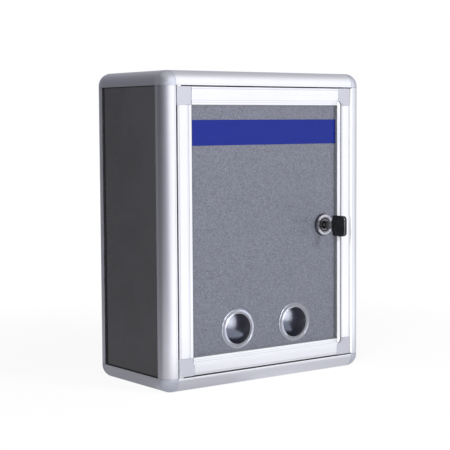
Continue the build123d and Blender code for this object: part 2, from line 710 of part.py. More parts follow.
def window_ring(x):
    """Ring behind the panel that holds the lens, with eased edges."""
    start = PANEL_THICKNESS
    end = start + RING_THICKNESS
    inner = LENS_COLLAR_RADIUS + RING_FIT
    eased = RING_RADIUS - RING_CHAMFER
    outline = Polyline((inner, start), (RING_RADIUS, start), (RING_RADIUS, end - RING_CHAMFER),
                       (eased, end), (inner, end), (inner, start))
    return spun(make_face(outline), x, WINDOW_CENTRE_Z)


# Cam lock

def thread_profile():
    """Points of the grooves that stand for the barrel's thread, from its flange to its end."""
    turns = int((LOCK_BACK - THREAD_START) / THREAD_PITCH)
    points = [(BARREL_RADIUS, 0), (BARREL_RADIUS, THREAD_START)]
    for index in range(turns):
        start = THREAD_START + index * THREAD_PITCH
        points.append((BARREL_RADIUS - THREAD_DEPTH, start + THREAD_PITCH / 2))
        points.append((BARREL_RADIUS, start + THREAD_PITCH))
    return points + [(BARREL_RADIUS, LOCK_BACK)]


def lock_housing():
    """Flange with a recessed face, and a threaded barrel with two flats."""
    front = -FLANGE_HEIGHT
    recess = front + FACE_BORE_DEPTH
    outline = Polyline((PLUG_BORE_RADIUS, recess), (FACE_BORE_RADIUS, recess),
                       (FACE_BORE_RADIUS, front), (FLANGE_FRONT_RADIUS, front),
                       (FLANGE_RADIUS, -FLANGE_EDGE), (FLANGE_RADIUS, 0), *thread_profile(),
                       (PLUG_BORE_RADIUS, LOCK_BACK), (PLUG_BORE_RADIUS, recess))
    housing = spun(make_face(outline), LOCK_X, LOCK_Z)
    half = BARREL_FLATS / 2
    for side in (-1, 1):
        xs = sorted((side * half, side * (BARREL_RADIUS + OVERRUN)))
        low = (LOCK_X + xs[0], PANEL_FRONT_Y, LOCK_Z - BARREL_RADIUS - OVERRUN)
        high = (LOCK_X + xs[1], PANEL_FRONT_Y + LOCK_BACK + OVERRUN, LOCK_Z + BARREL_RADIUS + OVERRUN)
        housing -= block(low, high)
    for angle in FLANGE_NOTCH_ANGLES:
        housing -= flange_notch(angle)
    return housing


def flange_notch(angle):
    """Cutter for a small radial notch in the flange's front."""
    length = FLANGE_FRONT_RADIUS - FACE_BORE_RADIUS + 2 * OVERRUN
    cutter = Box(length, 2 * FLANGE_NOTCH_DEPTH, FLANGE_NOTCH_WIDTH)
    outwards = Pos((FACE_BORE_RADIUS + FLANGE_FRONT_RADIUS) / 2, 0, 0) * cutter
    return Pos(LOCK_X, PANEL_FRONT_Y - FLANGE_HEIGHT, LOCK_Z) * Rot(0, -angle, 0) * outwards


def lock_nut():
    """Hexagonal nut behind the panel with eased corners."""
    corner_radius = NUT_ACROSS / 2 / math.cos(math.pi / 6)
    plane_y = PANEL_FRONT_Y + PANEL_THICKNESS
    hexagon = RegularPolygon(corner_radius, 6)
    nut = run(hexagon, (LOCK_X, plane_y, LOCK_Z), (1, 0, 0), (0, 0, 1), (0, 1, 0), NUT_THICKNESS)
    nut = chamfer(nut.faces().sort_by(Axis.Y)[-1].edges(), NUT_CHAMFER)
    end = PANEL_THICKNESS + NUT_THICKNESS + OVERRUN
    return nut - bore(LOCK_X, LOCK_Z, BARREL_RADIUS + BARREL_FIT, PANEL_THICKNESS - OVERRUN, end)


def lock_plug():
    """Turning core: face disc, shaft, square end for the cam, keyway and screw hole."""
    recess = FACE_BORE_DEPTH - FLANGE_HEIGHT
    head_back = recess - PLUG_CLEARANCE
    head_front = head_back - PLUG_HEAD_THICKNESS
    shaft = PLUG_BORE_RADIUS - PLUG_CLEARANCE
    shaft_end = LOCK_BACK + PLUG_CLEARANCE
    square_end = CAM_BASE_DEPTH + CAM_THICKNESS
    plug = bore(LOCK_X, LOCK_Z, PLUG_HEAD_RADIUS, head_front, head_back)
    plug += bore(LOCK_X, LOCK_Z, shaft, head_front, shaft_end)
    half = PLUG_SQUARE / 2
    square_low = (LOCK_X - half, PANEL_FRONT_Y + LOCK_BACK - OVERRUN, LOCK_Z - half)
    square_high = (LOCK_X + half, PANEL_FRONT_Y + square_end, LOCK_Z + half)
    plug += block(square_low, square_high)
    plug -= keyway(head_front - OVERRUN)
    hole_start = square_end - SCREW_LENGTH - SCREW_FIT
    return plug - bore(LOCK_X, LOCK_Z, SCREW_RADIUS + SCREW_FIT, hole_start, square_end + OVERRUN)


def keyway(start):
    """Cutter for the slot that takes the key's blade."""
    half_x = BLADE_THICKNESS / 2 + BLADE_PLAY
    half_z = BLADE_HEIGHT / 2 + BLADE_PLAY
    end = BLADE_INSERTED + BLADE_PLAY
    low = (LOCK_X - half_x, PANEL_FRONT_Y + start, LOCK_Z - half_z)
    high = (LOCK_X + half_x, PANEL_FRONT_Y + end, LOCK_Z + half_z)
    return block(low, high)


def lock_cam():
    """Cranked steel cam, hanging down with the lock open."""
    base_back = CAM_BASE_DEPTH + CAM_THICKNESS
    tip_back = CAM_TIP_DEPTH + CAM_THICKNESS
    crank_end = CAM_CRANK_START + CAM_CRANK_RUN
    outline = Polyline((-CAM_WIDTH / 2, CAM_BASE_DEPTH), (CAM_CRANK_START, CAM_BASE_DEPTH),
                       (crank_end, CAM_TIP_DEPTH), (CAM_REACH, CAM_TIP_DEPTH),
                       (CAM_REACH, tip_back), (crank_end + CAM_THICKNESS / 2, tip_back),
                       (CAM_CRANK_START + CAM_THICKNESS / 2, base_back), (-CAM_WIDTH / 2, base_back),
                       (-CAM_WIDTH / 2, CAM_BASE_DEPTH))
    origin = (LOCK_X - CAM_WIDTH / 2, PANEL_FRONT_Y, LOCK_Z)
    cam = run(make_face(outline), origin, (0, 0, -1), (0, 1, 0), (1, 0, 0), CAM_WIDTH)
    upright = cam.edges().filter_by(Axis.Y).group_by(Axis.Z)
    cam = fillet(upright[-1] + upright[0], CAM_TIP_RADIUS)
    half = PLUG_SQUARE / 2 + PLUG_CLEARANCE
    low = (LOCK_X - half, PANEL_FRONT_Y + CAM_BASE_DEPTH - OVERRUN, LOCK_Z - half)
    high = (LOCK_X + half, PANEL_FRONT_Y + base_back + OVERRUN, LOCK_Z + half)
    return cam - block(low, high)


def cam_screw():
    """Pan-head screw with a cross recess."""
    seat = CAM_BASE_DEPTH + CAM_THICKNESS
    head_end = seat + SCREW_HEAD_HEIGHT
    head = bore(LOCK_X, LOCK_Z, SCREW_HEAD_RADIUS, seat, head_end)
    head = fillet(head.faces().sort_by(Axis.Y)[-1].edges(), SCREW_HEAD_ROUND)
    long_half = SCREW_CROSS_LENGTH / 2
    short_half = SCREW_CROSS_WIDTH / 2
    cut_start = PANEL_FRONT_Y + head_end - SCREW_CROSS_DEPTH
    cut_end = PANEL_FRONT_Y + head_end + OVERRUN
    for half_x, half_z in ((long_half, short_half), (short_half, long_half)):
        low = (LOCK_X - half_x, cut_start, LOCK_Z - half_z)
        head -= block(low, (LOCK_X + half_x, cut_end, LOCK_Z + half_z))
    return head + bore(LOCK_X, LOCK_Z, SCREW_RADIUS, seat - SCREW_LENGTH, seat)


# Key

def key_blade():
    """Blade with cuts along both edges and a tapered tip."""
    half = BLADE_HEIGHT / 2
    start = -BOW_STANDOFF - BLADE_IN_BOW
    outline = Polyline((half, start), (half, BLADE_INSERTED - BLADE_TIP),
                       (half - BLADE_TIP, BLADE_INSERTED), (BLADE_TIP - half, BLADE_INSERTED),
                       (-half, BLADE_INSERTED - BLADE_TIP), (-half, start), (half, start))
    shape = make_face(outline)
    for index, share in enumerate(BITTING_DEPTH_SHARES):
        place = BLADE_INSERTED - BLADE_TIP - BITTING_START - index * BITTING_PITCH
        depth = share * BLADE_HEIGHT
        for edge in (-1, 1):
            notch = Polyline((edge * (half + OVERRUN), place - BITTING_WIDTH / 2),
                             (edge * (half - depth), place),
                             (edge * (half + OVERRUN), place + BITTING_WIDTH / 2),
                             (edge * (half + OVERRUN), place - BITTING_WIDTH / 2))
            shape -= make_face(notch)
    origin = (LOCK_X - BLADE_THICKNESS / 2, PANEL_FRONT_Y, LOCK_Z)
    blade = run(shape, origin, (0, 0, 1), (0, 1, 0), (1, 0, 0), BLADE_THICKNESS)
    rise = BLADE_GROOVE_SPACING / 2
    return blade - blade_groove(-1, -rise) - blade_groove(-1, rise) - blade_groove(1, 0)


def blade_groove(side, rise):
    """Cutter for a groove along one face of the blade, from the grip to the tip."""
    face = BLADE_THICKNESS / 2
    xs = sorted((side * (face - BLADE_GROOVE_DEPTH), side * (face + OVERRUN)))
    middle = LOCK_Z + rise
    low = (LOCK_X + xs[0], PANEL_FRONT_Y - BOW_STANDOFF, middle - BLADE_GROOVE_WIDTH / 2)
    end = PANEL_FRONT_Y + BLADE_INSERTED + OVERRUN
    return block(low, (LOCK_X + xs[1], end, middle + BLADE_GROOVE_WIDTH / 2))


def key_bow():
    """Black moulded grip with a grip field on each side and a neck towards the lock."""
    inner = -BOW_STANDOFF
    outer = inner - BOW_LENGTH
    half = BOW_HEIGHT / 2
    plate = area((-half, outer), (half, inner - BOW_NECK_LENGTH / 2))
    outer_corners = plate.vertices().group_by(Axis.Y)[0]
    plate = fillet(outer_corners, BOW_OUTER_CORNER)
    inner_corners = plate.vertices().group_by(Axis.Y)[-1]
    plate = fillet(inner_corners, BOW_INNER_CORNER)
    neck_half = BOW_NECK_HEIGHT / 2
    neck = area((-neck_half, inner - BOW_NECK_LENGTH), (neck_half, inner))
    neck = fillet(neck.vertices().group_by(Axis.Y)[-1], BOW_INNER_CORNER)
    left = LOCK_X - BOW_THICKNESS / 2
    grip = run(plate + neck, (left, PANEL_FRONT_Y, LOCK_Z), (0, 0, 1), (0, 1, 0), (1, 0, 0),
               BOW_THICKNESS)
    grip = fillet(grip.faces().filter_by(Axis.X).edges(), BOW_EDGE_ROUND)
    field = area((-half + BOW_GRIP_MARGIN, outer + BOW_GRIP_MARGIN),
                 (half - BOW_GRIP_MARGIN, inner - BOW_GRIP_MARGIN))
    field = fillet(field.vertices(), BOW_INNER_CORNER)
    for edge_x in (left - OVERRUN, left + BOW_THICKNESS - BOW_GRIP_DEPTH):
        length = OVERRUN + BOW_GRIP_DEPTH
        origin = (edge_x, PANEL_FRONT_Y, LOCK_Z)
        grip -= run(field, origin, (0, 0, 1), (0, 1, 0), (1, 0, 0), length)
    half_x = BLADE_THICKNESS / 2 + BLADE_BOW_FIT
    half_z = BLADE_HEIGHT / 2 + BLADE_BOW_FIT
    pocket_low = (LOCK_X - half_x, PANEL_FRONT_Y + inner - BLADE_IN_BOW, LOCK_Z - half_z)
    pocket_high = (LOCK_X + half_x, PANEL_FRONT_Y + inner + OVERRUN, LOCK_Z + half_z)
    return grip - block(pocket_low, pocket_high)


def build_case():
    """All pieces of the fixed body."""
    parts = {}
    for side, name in ((-1, "left"), (1, "right")):
        parts["front_post_" + name] = front_post(side)
        parts["back_post_" + name] = back_post(side)
        parts["top_" + name + "_rail"] = side_rail(side, CASE_HEIGHT, -1)
        parts["bottom_" + name + "_rail"] = side_rail(side, 0, 1)
        parts[name + "_side_panel"] = side_panel(side)
        parts[name + "_panel_seal"] = side_seal(side)
    parts["top_front_rail"] = front_rail(CASE_HEIGHT, -1)
    parts["bottom_front_rail"] = front_rail(0, 1)
    parts["top_back_rail"] = back_rail(CASE_HEIGHT, -1)
    parts["bottom_back_rail"] = back_rail(0, 1)
    parts["top_panel"] = top_panel()
    parts["bottom_panel"] = level_panel(PANEL_RECESS, 1)
    parts["back_panel"] = back_panel()
    parts["top_panel_seal"] = level_seal(CASE_HEIGHT - PANEL_RECESS, 1)
    parts["bottom_panel_seal"] = level_seal(PANEL_RECESS, -1)
    parts["back_panel_seal"] = back_seal()
    for front, depth_name in ((True, "front"), (False, "back")):
        piece = corner_piece(front)
        for left, side_name in ((True, "left"), (False, "right")):
            for bottom, level_name in ((True, "bottom"), (False, "top")):
                corner = placed_corner(piece, left, front, bottom)
                if front and left:
                    corner -= frame_pin_hole(-1 if bottom else 1)
                parts["corner_" + level_name + "_" + depth_name + "_" + side_name] = corner
    parts["hinge_pins"] = Compound([hinge_pin(DOOR_BOTTOM, -1), hinge_pin(DOOR_TOP, 1)])
    washers = [pivot_washer(FRAME_FACE, 1), pivot_washer(OPENING_TOP, -1)]
    parts["pivot_washers"] = Compound(washers)
    return parts


def build_door():
    """All pieces that swing with the door."""
    parts = {
        "hinge_stile": stile(-1),
        "lock_stile": stile(1),
        "door_top_rail": door_rail(DOOR_TOP, -1),
        "door_bottom_rail": door_bottom_rail(),
        "door_panel": door_panel(),
        "door_seal": door_seal(),
        "header_band": header_band(),
        "pull_strip": pull_strip(),
        "lock_housing": lock_housing(),
        "lock_nut": lock_nut(),
    }
    for side, name in ((-1, "left"), (1, "right")):
        parts["door_corner_top_" + name] = door_corner(side, True)
        parts["door_corner_bottom_" + name] = door_corner(side, False)
    for x, name in zip(window_places(), ("left", "right")):
        parts["window_lens_" + name] = window_lens(x)
        parts["window_ring_" + name] = window_ring(x)
    return parts


def build_lock():
    """Pieces that turn with the plug, and the key that slides in it."""
    return {
        "lock_plug": lock_plug(),
        "lock_cam": lock_cam(),
        "cam_screw": cam_screw(),
        "key_blade": key_blade(),
        "key_bow": key_bow(),
    }


os.makedirs("parts", exist_ok=True)
for node, shape in {**build_case(), **build_door(), **build_lock()}.items():
    export_step(shape, "parts/" + node + ".step")
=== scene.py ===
import math

import bpy
from bpy.props import FloatProperty, FloatVectorProperty, PointerProperty
from mathutils import Matrix, Vector


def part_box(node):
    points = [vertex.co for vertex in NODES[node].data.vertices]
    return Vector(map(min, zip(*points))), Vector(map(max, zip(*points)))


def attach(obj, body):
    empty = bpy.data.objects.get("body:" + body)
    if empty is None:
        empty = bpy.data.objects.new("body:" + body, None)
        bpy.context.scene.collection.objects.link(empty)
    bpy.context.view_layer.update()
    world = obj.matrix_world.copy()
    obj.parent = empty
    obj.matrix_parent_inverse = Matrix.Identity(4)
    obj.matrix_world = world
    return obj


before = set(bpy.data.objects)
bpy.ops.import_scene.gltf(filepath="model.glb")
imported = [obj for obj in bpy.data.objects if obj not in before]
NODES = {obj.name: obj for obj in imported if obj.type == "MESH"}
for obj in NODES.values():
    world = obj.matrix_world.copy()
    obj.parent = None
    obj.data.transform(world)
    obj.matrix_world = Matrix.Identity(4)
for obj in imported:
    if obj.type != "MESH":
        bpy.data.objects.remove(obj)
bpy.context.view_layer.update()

bl_info = {
    "name": "Ballot box",
    "version": (1, 0, 0),
    "blender": (4, 5, 0),
    "location": "View3D > Sidebar > Ballot box",
    "description": "Finishes and photographs a framed ballot box with a keyed door",
    "category": "Object",
}

# Sizes in metres, angles in radians, in the frame of the CAD model
MICRON = 0.000001

# Names of pieces that share a finish
LEVELS = ("top", "bottom")
SIDES = ("left", "right")
DEEP_BARS = [level + "_" + side + "_rail" for level in LEVELS for side in SIDES]
CASE_CORNERS = ["corner_" + level + face + side for level in LEVELS for face in ("_front_", "_back_")
                for side in SIDES]
DOOR_CORNERS = ["door_corner_" + level + "_" + side for level in LEVELS for side in SIDES]
CASE_SHEETS = ("left_side_panel", "right_side_panel", "top_panel", "bottom_panel", "back_panel")
CASE_SEALS = [side + "_panel_seal" for side in ("left", "right", "top", "bottom", "back")]

# Easing of edges: widest seam that is joined, angles from which an edge is sharp, and widths
SEAM_GAP = 2 * MICRON
SHADE_ANGLE = math.radians(28)
EASE_ANGLE = math.radians(35)
FLAT_ANGLE = math.radians(0.1)
EASE_SEGMENTS = 2
SHEET_EDGE = 0.0002
BAND_EDGE = 0.0001
LOCK_EDGE = 0.00012

# Squeezing of the noise that gives lines along X, Y or Z, and how coarse the broad ones are
ALONG_X = (0.01, 1.0, 1.0)
ALONG_Y = (1.0, 0.01, 1.0)
ALONG_Z = (1.0, 1.0, 0.01)
ALONG_BLADE = (1.0, 1.0, 0.05)
BROAD_SHARE = 0.12

# Noise values between which patches, painted glints and specks set in, and the size and strength of specks
PATCH_RANGE = (0.35, 0.65)
PAINTED_GLINT_RANGE = (0.46, 0.62)
SPECK_RANGE = (0.62, 0.8)
SPECK_SIZE_SHARE = 0.4
SPECK_SHARE = 0.5

# Bars: what lines and patches add to the roughness, the painted shade on the lips behind the door, the lit
# wall, and the door's thin lines of painted groove shade
LINE_ROUGHNESS = (-0.05, 0.06)
PATCH_ROUGHNESS = (-0.02, 0.03)
MASK_BLUR = 0.0001
LIP_REACH = 0.0008
WALL_REACH = 0.0004
GAP_SHADE_COLOUR = (0.012, 0.012, 0.013)
RAIL_GROOVES = (0.0021, 0.0127, 0.0147)
STILE_GROOVES = (0.002, 0.0114)
GROOVE_WIDTH = 0.0006
GROOVE_SHADE_SHARE = 0.78

# Pull strip: what lines add to the roughness, its outline's reach and corners, and its dark edge
STRIP_ROUGHNESS = (-0.05, 0.08)
STRIP_DEPTH = 0.03
STRIP_CORNER = 0.005
STRIP_EDGE = (0.00015, 0.0004)
STRIP_EDGE_COLOUR = (0.13, 0.13, 0.15)

# Windows: the domes, their flanges, the light that these hold back, and the ribs of their rings
DOME_RADIUS = 0.0146
FLANGE_RADIUS = 0.0195
FLANGE_SLOPE = 0.3
RIM_WIDTH = 0.003
RIM_SLOPE = 0.27
FLANGE_SHADOW_SHARE = 0.1
RIB_COUNT = 40
RIB_DEPTH = 0.0006
RIB_WIDTH = 0.001
RIB_LENGTH_SHARE = 0.62

# Lock: the painted dark reflection round the rim of its ring
LOCK_RIM = 0.0105
LOCK_RIM_WIDTH = 0.0007
LOCK_RIM_REFLECTION_COLOUR = (0.17, 0.17, 0.19)

# What shiny surfaces see round the object: azimuth in degrees from +X, and brightness
SURROUND = (
    (-180, 0.11), (-150, 0.24), (-130, 0.43), (-113, 0.88), (-97, 1.18), (-50, 1.2), (-25, 0.9),
    (0, 0.64), (50, 0.43), (90, 0.23), (130, 0.14), (160, 0.09), (180, 0.11),
)
TURN_ROUND = 360.0
DIM_LEVEL = 0.6
DIM_BLUE_SHARE = 1.16
BRIGHT_BLUE_SHARE = 1.06
OVERHEAD_START = 0.6

# Floor: its colour, the distances over which its shadow fades, and what shiny surfaces see on it
FLOOR_SIZE = 8.0
FLOOR_COLOUR = (0.9, 0.9, 0.9, 1.0)
FLOOR_BRIGHTNESS = 1.04
SHADOW_FADE = (0.2, 0.9)
MIRROR_FADE = (0.05, 0.5)
EVEN_FLOOR = (0.7, 0.7, 0.77)
EVEN_FADE = (0.05, 0.9)
EVEN_LEAST_SHARE = 0.08
CLOSE_FADE = (0.4, 0.9)
FRONT_FLOOR = (1.32, 1.32, 1.38)
FRONT_FADE_Y = (-0.16, -0.085)
FRONT_FADE_X = (-0.3, -0.14)
FOOT_FADE_Y = (-0.06, 0.02)

# Lamps: where each stands and where it looks, their colours, and the pieces that mirror the softbox
KEY_AIM = ((0.5, -1.5, 0.75), (0.0, 0.0, 0.15))
FILL_AIM = ((-1.25, -1.15, 0.5), (0.0, 0.0, 0.15))
SOFTBOX_AIM = ((-0.333, -1.39, 0.684), (-0.05, -0.06, 0.05))
SOFTBOX_COLOUR = (0.83, 0.87, 1.0)
GLOW_AIM = ((-0.15, -0.75, 0.003), (-0.15, -0.75, 1.0))
GLOW_SIZE = (0.4, 1.3)
GLOW_COLOUR = (0.7, 0.78, 1.0)
MIRRORING = ("window_lens_left", "window_lens_right", "key_bow")

# Camera: width of its film in millimetres, and nearest and farthest distance
FILM_WIDTH = 36.0
CLIP_NEAR = 0.01
CLIP_FAR = 50.0


# Settings that the sidebar shows

class BallotBoxCamera(bpy.types.PropertyGroup):
    """Where the camera stands and how it is turned."""

    place: FloatVectorProperty(
        name="Place", description="Where the camera stands", size=3,
        default=(-0.7833, -1.02783, 0.25057), subtype="TRANSLATION", unit="LENGTH")
    turn: FloatProperty(
        name="Turn", description="Direction of the camera round the object",
        default=math.radians(-36.6288), subtype="ANGLE")
    rise: FloatProperty(
        name="Rise", description="How far the camera looks down",
        default=math.radians(4.4674), subtype="ANGLE")
    roll: FloatProperty(
        name="Roll", description="Tilt of the picture",
        default=math.radians(-0.3522), subtype="ANGLE")
    lens: FloatProperty(
        name="Lens", description="Focal length in millimetres", default=103.88)


class BallotBoxLight(bpy.types.PropertyGroup):
    """Brightness of the studio."""

    ambient: FloatProperty(
        name="Ambient", description="Light from all round on matte surfaces", default=0.2)
    overhead: FloatProperty(
        name="Overhead", description="Grey that shiny surfaces see above", default=0.5)
    key_power: FloatProperty(
        name="Key power", description="Power of the large lamp in front", default=20.0, unit="POWER")
    key_size: FloatVectorProperty(
        name="Key size", description="Width and height of the large lamp", size=2, default=(0.45, 0.4),
        unit="LENGTH")
    softbox_power: FloatProperty(
        name="Softbox power", description="Power of the lamp that domes and key mirror", default=140.0,
        unit="POWER")
    softbox_size: FloatVectorProperty(
        name="Softbox size", description="Width and height of the lamp that the domes mirror", size=2,
        default=(1.74, 2.2), unit="LENGTH")
    softbox_spread: FloatProperty(
        name="Softbox spread", description="Angle within which the softbox shines",
        default=math.radians(80), subtype="ANGLE")
    glow_share: FloatProperty(
        name="Softbox glow", description="Share of the softbox that the floor in front throws back",
        default=0.14)
    fill_power: FloatProperty(
        name="Fill power", description="Power of the lamp on the left of the camera", default=30.0,
        unit="POWER")
    fill_size: FloatVectorProperty(
        name="Fill size", description="Width and height of the lamp on the left", size=2,
        default=(0.6, 0.6), unit="LENGTH")
    near_floor_share: FloatProperty(
        name="Near floor", description="Share of the surround that shiny surfaces see close by on the floor",
        default=0.85)
    floor_evenness_share: FloatProperty(
        name="Floor evenness", description="How little the mirrored floor differs from side to side",
        default=0.35)
    foot_evenness_share: FloatProperty(
        name="Foot evenness", description="The same for the floor just in front of the box", default=0.9)
    floor_shadow_share: FloatProperty(
        name="Floor shadow", description="Share of the real shadow on the floor", default=0.14)


class BallotBoxMetal(bpy.types.PropertyGroup):
    """Finish of the aluminium bars and corners."""

    colour: FloatVectorProperty(
        name="Colour", description="Colour of the anodised bars", size=3,
        default=(0.9, 0.91, 0.93), subtype="COLOR")
    corner_colour: FloatVectorProperty(
        name="Corner colour", description="Colour of the case's ball corners", size=3,
        default=(0.62, 0.64, 0.7), subtype="COLOR")
    roughness: FloatProperty(
        name="Roughness", description="Roughness of the bars", default=0.32)
    line_spacing: FloatProperty(
        name="Line spacing", description="Distance between the fine lines along a bar",
        default=0.00035, unit="LENGTH")
    edge_width: FloatProperty(
        name="Edge width", description="How much each sharp edge is eased",
        default=0.00015, unit="LENGTH")


class BallotBoxBoards(bpy.types.PropertyGroup):
    """Finish of the sheets and of the band."""

    case_colour: FloatVectorProperty(
        name="Case colour", description="Colour of the glossy case sheets", size=3,
        default=(0.037, 0.036, 0.039), subtype="COLOR")
    door_colour: FloatVectorProperty(
        name="Door colour", description="Colour of the door's sheet", size=3,
        default=(0.121, 0.126, 0.157), subtype="COLOR")
    band_colour: FloatVectorProperty(
        name="Band colour", description="Colour of the plain band", size=3,
        default=(0.006, 0.014, 0.145), subtype="COLOR")
    # The seals' dark colours are painted shade of the lines round the case's and the door's sheets.
    seal_shade_colour: FloatVectorProperty(
        name="Seal colour", description="Colour of the rubber round the case's sheets", size=3,
        default=(0.009, 0.009, 0.01), subtype="COLOR")
    door_seal_shade_colour: FloatVectorProperty(
        name="Door seal colour", description="Colour of the rubber round the door's sheet", size=3,
        default=(0.13, 0.13, 0.145), subtype="COLOR")
    grain_size: FloatProperty(
        name="Grain size", description="Size of the sandy grain on the door's sheet",
        default=0.0012, unit="LENGTH")


# Building of node trees

def node_group(name, kind, inputs, outputs):
    """Empty node group, its inputs and outputs. A word gives a socket's type, else it is a default."""
    tree = bpy.data.node_groups.new(name, kind)
    for way, entries in (("INPUT", inputs), ("OUTPUT", outputs)):
        for label, value in entries.items():
            sort = value if isinstance(value, str) else "Vector" if isinstance(value, tuple) else "Float"
            socket = tree.interface.new_socket(label, in_out=way, socket_type="NodeSocket" + sort)
            if not isinstance(value, str):
                socket.default_value = value
    return tree, tree.nodes.new("NodeGroupInput").outputs, tree.nodes.new("NodeGroupOutput").inputs


def shader_group(name, inputs, *outputs):
    """Empty shader group fed with a vector and named inputs, with number outputs."""
    return node_group(name, "ShaderNodeTree", {"Vector": "Vector", **inputs}, dict.fromkeys(outputs, "Float"))


def shape_group(name, inputs):
    """Empty geometry nodes group that gives a geometry."""
    return node_group(name, "GeometryNodeTree", inputs, {"Geometry": "Geometry"})


def fill(tree, target, value):
    """Link an input to a socket or a node's first output, or set it to a value."""
    if isinstance(value, bpy.types.Node):
        value = value.outputs[0]
    if isinstance(value, bpy.types.NodeSocket):
        tree.links.new(value, target)
    else:
        target.default_value = value


def add(tree, kind, **inputs):
    """Add a node and fill its inputs by their labels, with spaces written as underscores."""
    node = tree.nodes.new(kind)
    for label, value in inputs.items():
        fill(tree, node.inputs[label.replace("_", " ")], value)
    return node


def maths(tree, operation, first, second):
    """Math node whose inputs are sockets or numbers."""
    node = tree.nodes.new("ShaderNodeMath")
    node.operation = operation
    fill(tree, node.inputs[0], first)
    fill(tree, node.inputs[1], second)
    return node.outputs["Value"]


def vector_step(tree, operation, first, second=(0.0, 0.0, 0.0)):
    """Vector Math node, which gives a number where it measures, else a vector."""
    node = tree.nodes.new("ShaderNodeVectorMath")
    node.operation = operation
    fill(tree, node.inputs[0], first)
    fill(tree, node.inputs[1], second)
    return node.outputs["Value" if operation in ("LENGTH", "DOT_PRODUCT") else "Vector"]


def parts(tree, vector):
    """The X, Y and Z of a vector."""
    return add(tree, "ShaderNodeSeparateXYZ", Vector=vector).outputs


def spread(tree, value, low, high, to_low, to_high, smooth=False):
    """Map Range node from one pair of numbers or sockets to another."""
    node = add(tree, "ShaderNodeMapRange", Value=value, From_Min=low, From_Max=high, To_Min=to_low,
               To_Max=to_high)
    if smooth:
        node.interpolation_type = "SMOOTHSTEP"
    return node.outputs["Result"]


def rise(tree, value, low, high):
    """Mask that goes smoothly from 0 at the lower value to 1 at the higher one."""
    return spread(tree, value, low, high, 0.0, 1.0, True)


def fall(tree, value, low, high):
    """Mask that goes smoothly from 1 at the lower value to 0 at the higher one."""
    return spread(tree, value, low, high, 1.0, 0.0, True)


def mixed_colour(tree, mask, first, second):
    """Mix node between two colours, each a socket or a tuple."""
    node = add(tree, "ShaderNodeMix", Factor=mask)
    node.data_type = "RGBA"
    for label, colour in (("A", first), ("B", second)):
        socket = [entry for entry in node.inputs if entry.name == label and entry.type == "RGBA"][0]
        fill(tree, socket, (*colour, 1.0) if isinstance(colour, tuple) else colour)
    return [entry for entry in node.outputs if entry.type == "RGBA"][0]


def mixed_shader(tree, mask, first, second):
    """Mix Shader node between two shaders."""
    node = tree.nodes.new("ShaderNodeMixShader")
    for target, value in zip(node.inputs, (mask, first, second)):
        fill(tree, target, value)
    return node


def noise(tree, place, scale, **values):
    """Noise texture at a vector, or along a line where the place is a number."""
    node = add(tree, "ShaderNodeTexNoise", Scale=scale, **values)
    if place.type == "VALUE":
        node.noise_dimensions = "1D"
    tree.links.new(place, node.inputs["W" if place.type == "VALUE" else "Vector"])
    return node.outputs["Fac"]


# Shader groups that several materials share

def grain_group():
    """Fine even grain of a given size, as a value round one half."""
    tree, start, end = shader_group("fine_grain", {"Grain size": 0.0005, "Contrast": 1.0}, "Value")
    scale = maths(tree, "DIVIDE", 1.0, start["Grain size"])
    grain = noise(tree, start["Vector"], scale, Detail=2.0, Roughness=0.6)
    wide = maths(tree, "MULTIPLY", maths(tree, "SUBTRACT", grain, 0.5), start["Contrast"])
    tree.links.new(maths(tree, "ADD", wide, 0.5), end["Value"])
    return tree


def lines_group():
    """Fine lines along one direction: the vector is squeezed along the bar before the noise."""
    inputs = {"Across": ALONG_Z, "Line spacing": 0.0004}
    tree, start, end = shader_group("fine_lines", inputs, "Value", "Broad")
    stretched = vector_step(tree, "MULTIPLY", start["Vector"], start["Across"])
    scale = maths(tree, "DIVIDE", 1.0, start["Line spacing"])
    broad = maths(tree, "MULTIPLY", scale, BROAD_SHARE)
    tree.links.new(noise(tree, stretched, scale, Detail=3.0), end["Value"])
    tree.links.new(noise(tree, stretched, broad, Detail=1.0), end["Broad"])
    return tree


def patches_group():
    """Soft large patches, such as handling leaves on a smooth surface."""
    tree, start, end = shader_group("soft_patches", {"Patch size": 0.03}, "Value")
    scale = maths(tree, "DIVIDE", 1.0, start["Patch size"])
    patches = noise(tree, start["Vector"], scale, Detail=4.0, Roughness=0.62, Distortion=0.4)
    tree.links.new(rise(tree, patches, *PATCH_RANGE), end["Value"])
    return tree


def rings_group():
    """Turned rings round an axis along Y, with the axis given by its X and Z."""
    inputs = {"Axis": (0.0, 0.0, 0.0), "Ring spacing": 0.0003}
    tree, start, end = shader_group("turned_rings", inputs, "Value", "Radius")
    radius = axis_distance(tree, start["Vector"], start["Axis"])
    scale = maths(tree, "DIVIDE", 1.0, start["Ring spacing"])
    tree.links.new(noise(tree, radius, scale, Detail=2.0), end["Value"])
    tree.links.new(radius, end["Radius"])
    return tree


def axis_distance(tree, place, axis):
    """Distance of a place from an axis along Y."""
    offset = vector_step(tree, "SUBTRACT", place, axis)
    return vector_step(tree, "LENGTH", vector_step(tree, "MULTIPLY", offset, (1.0, 0.0, 1.0)))


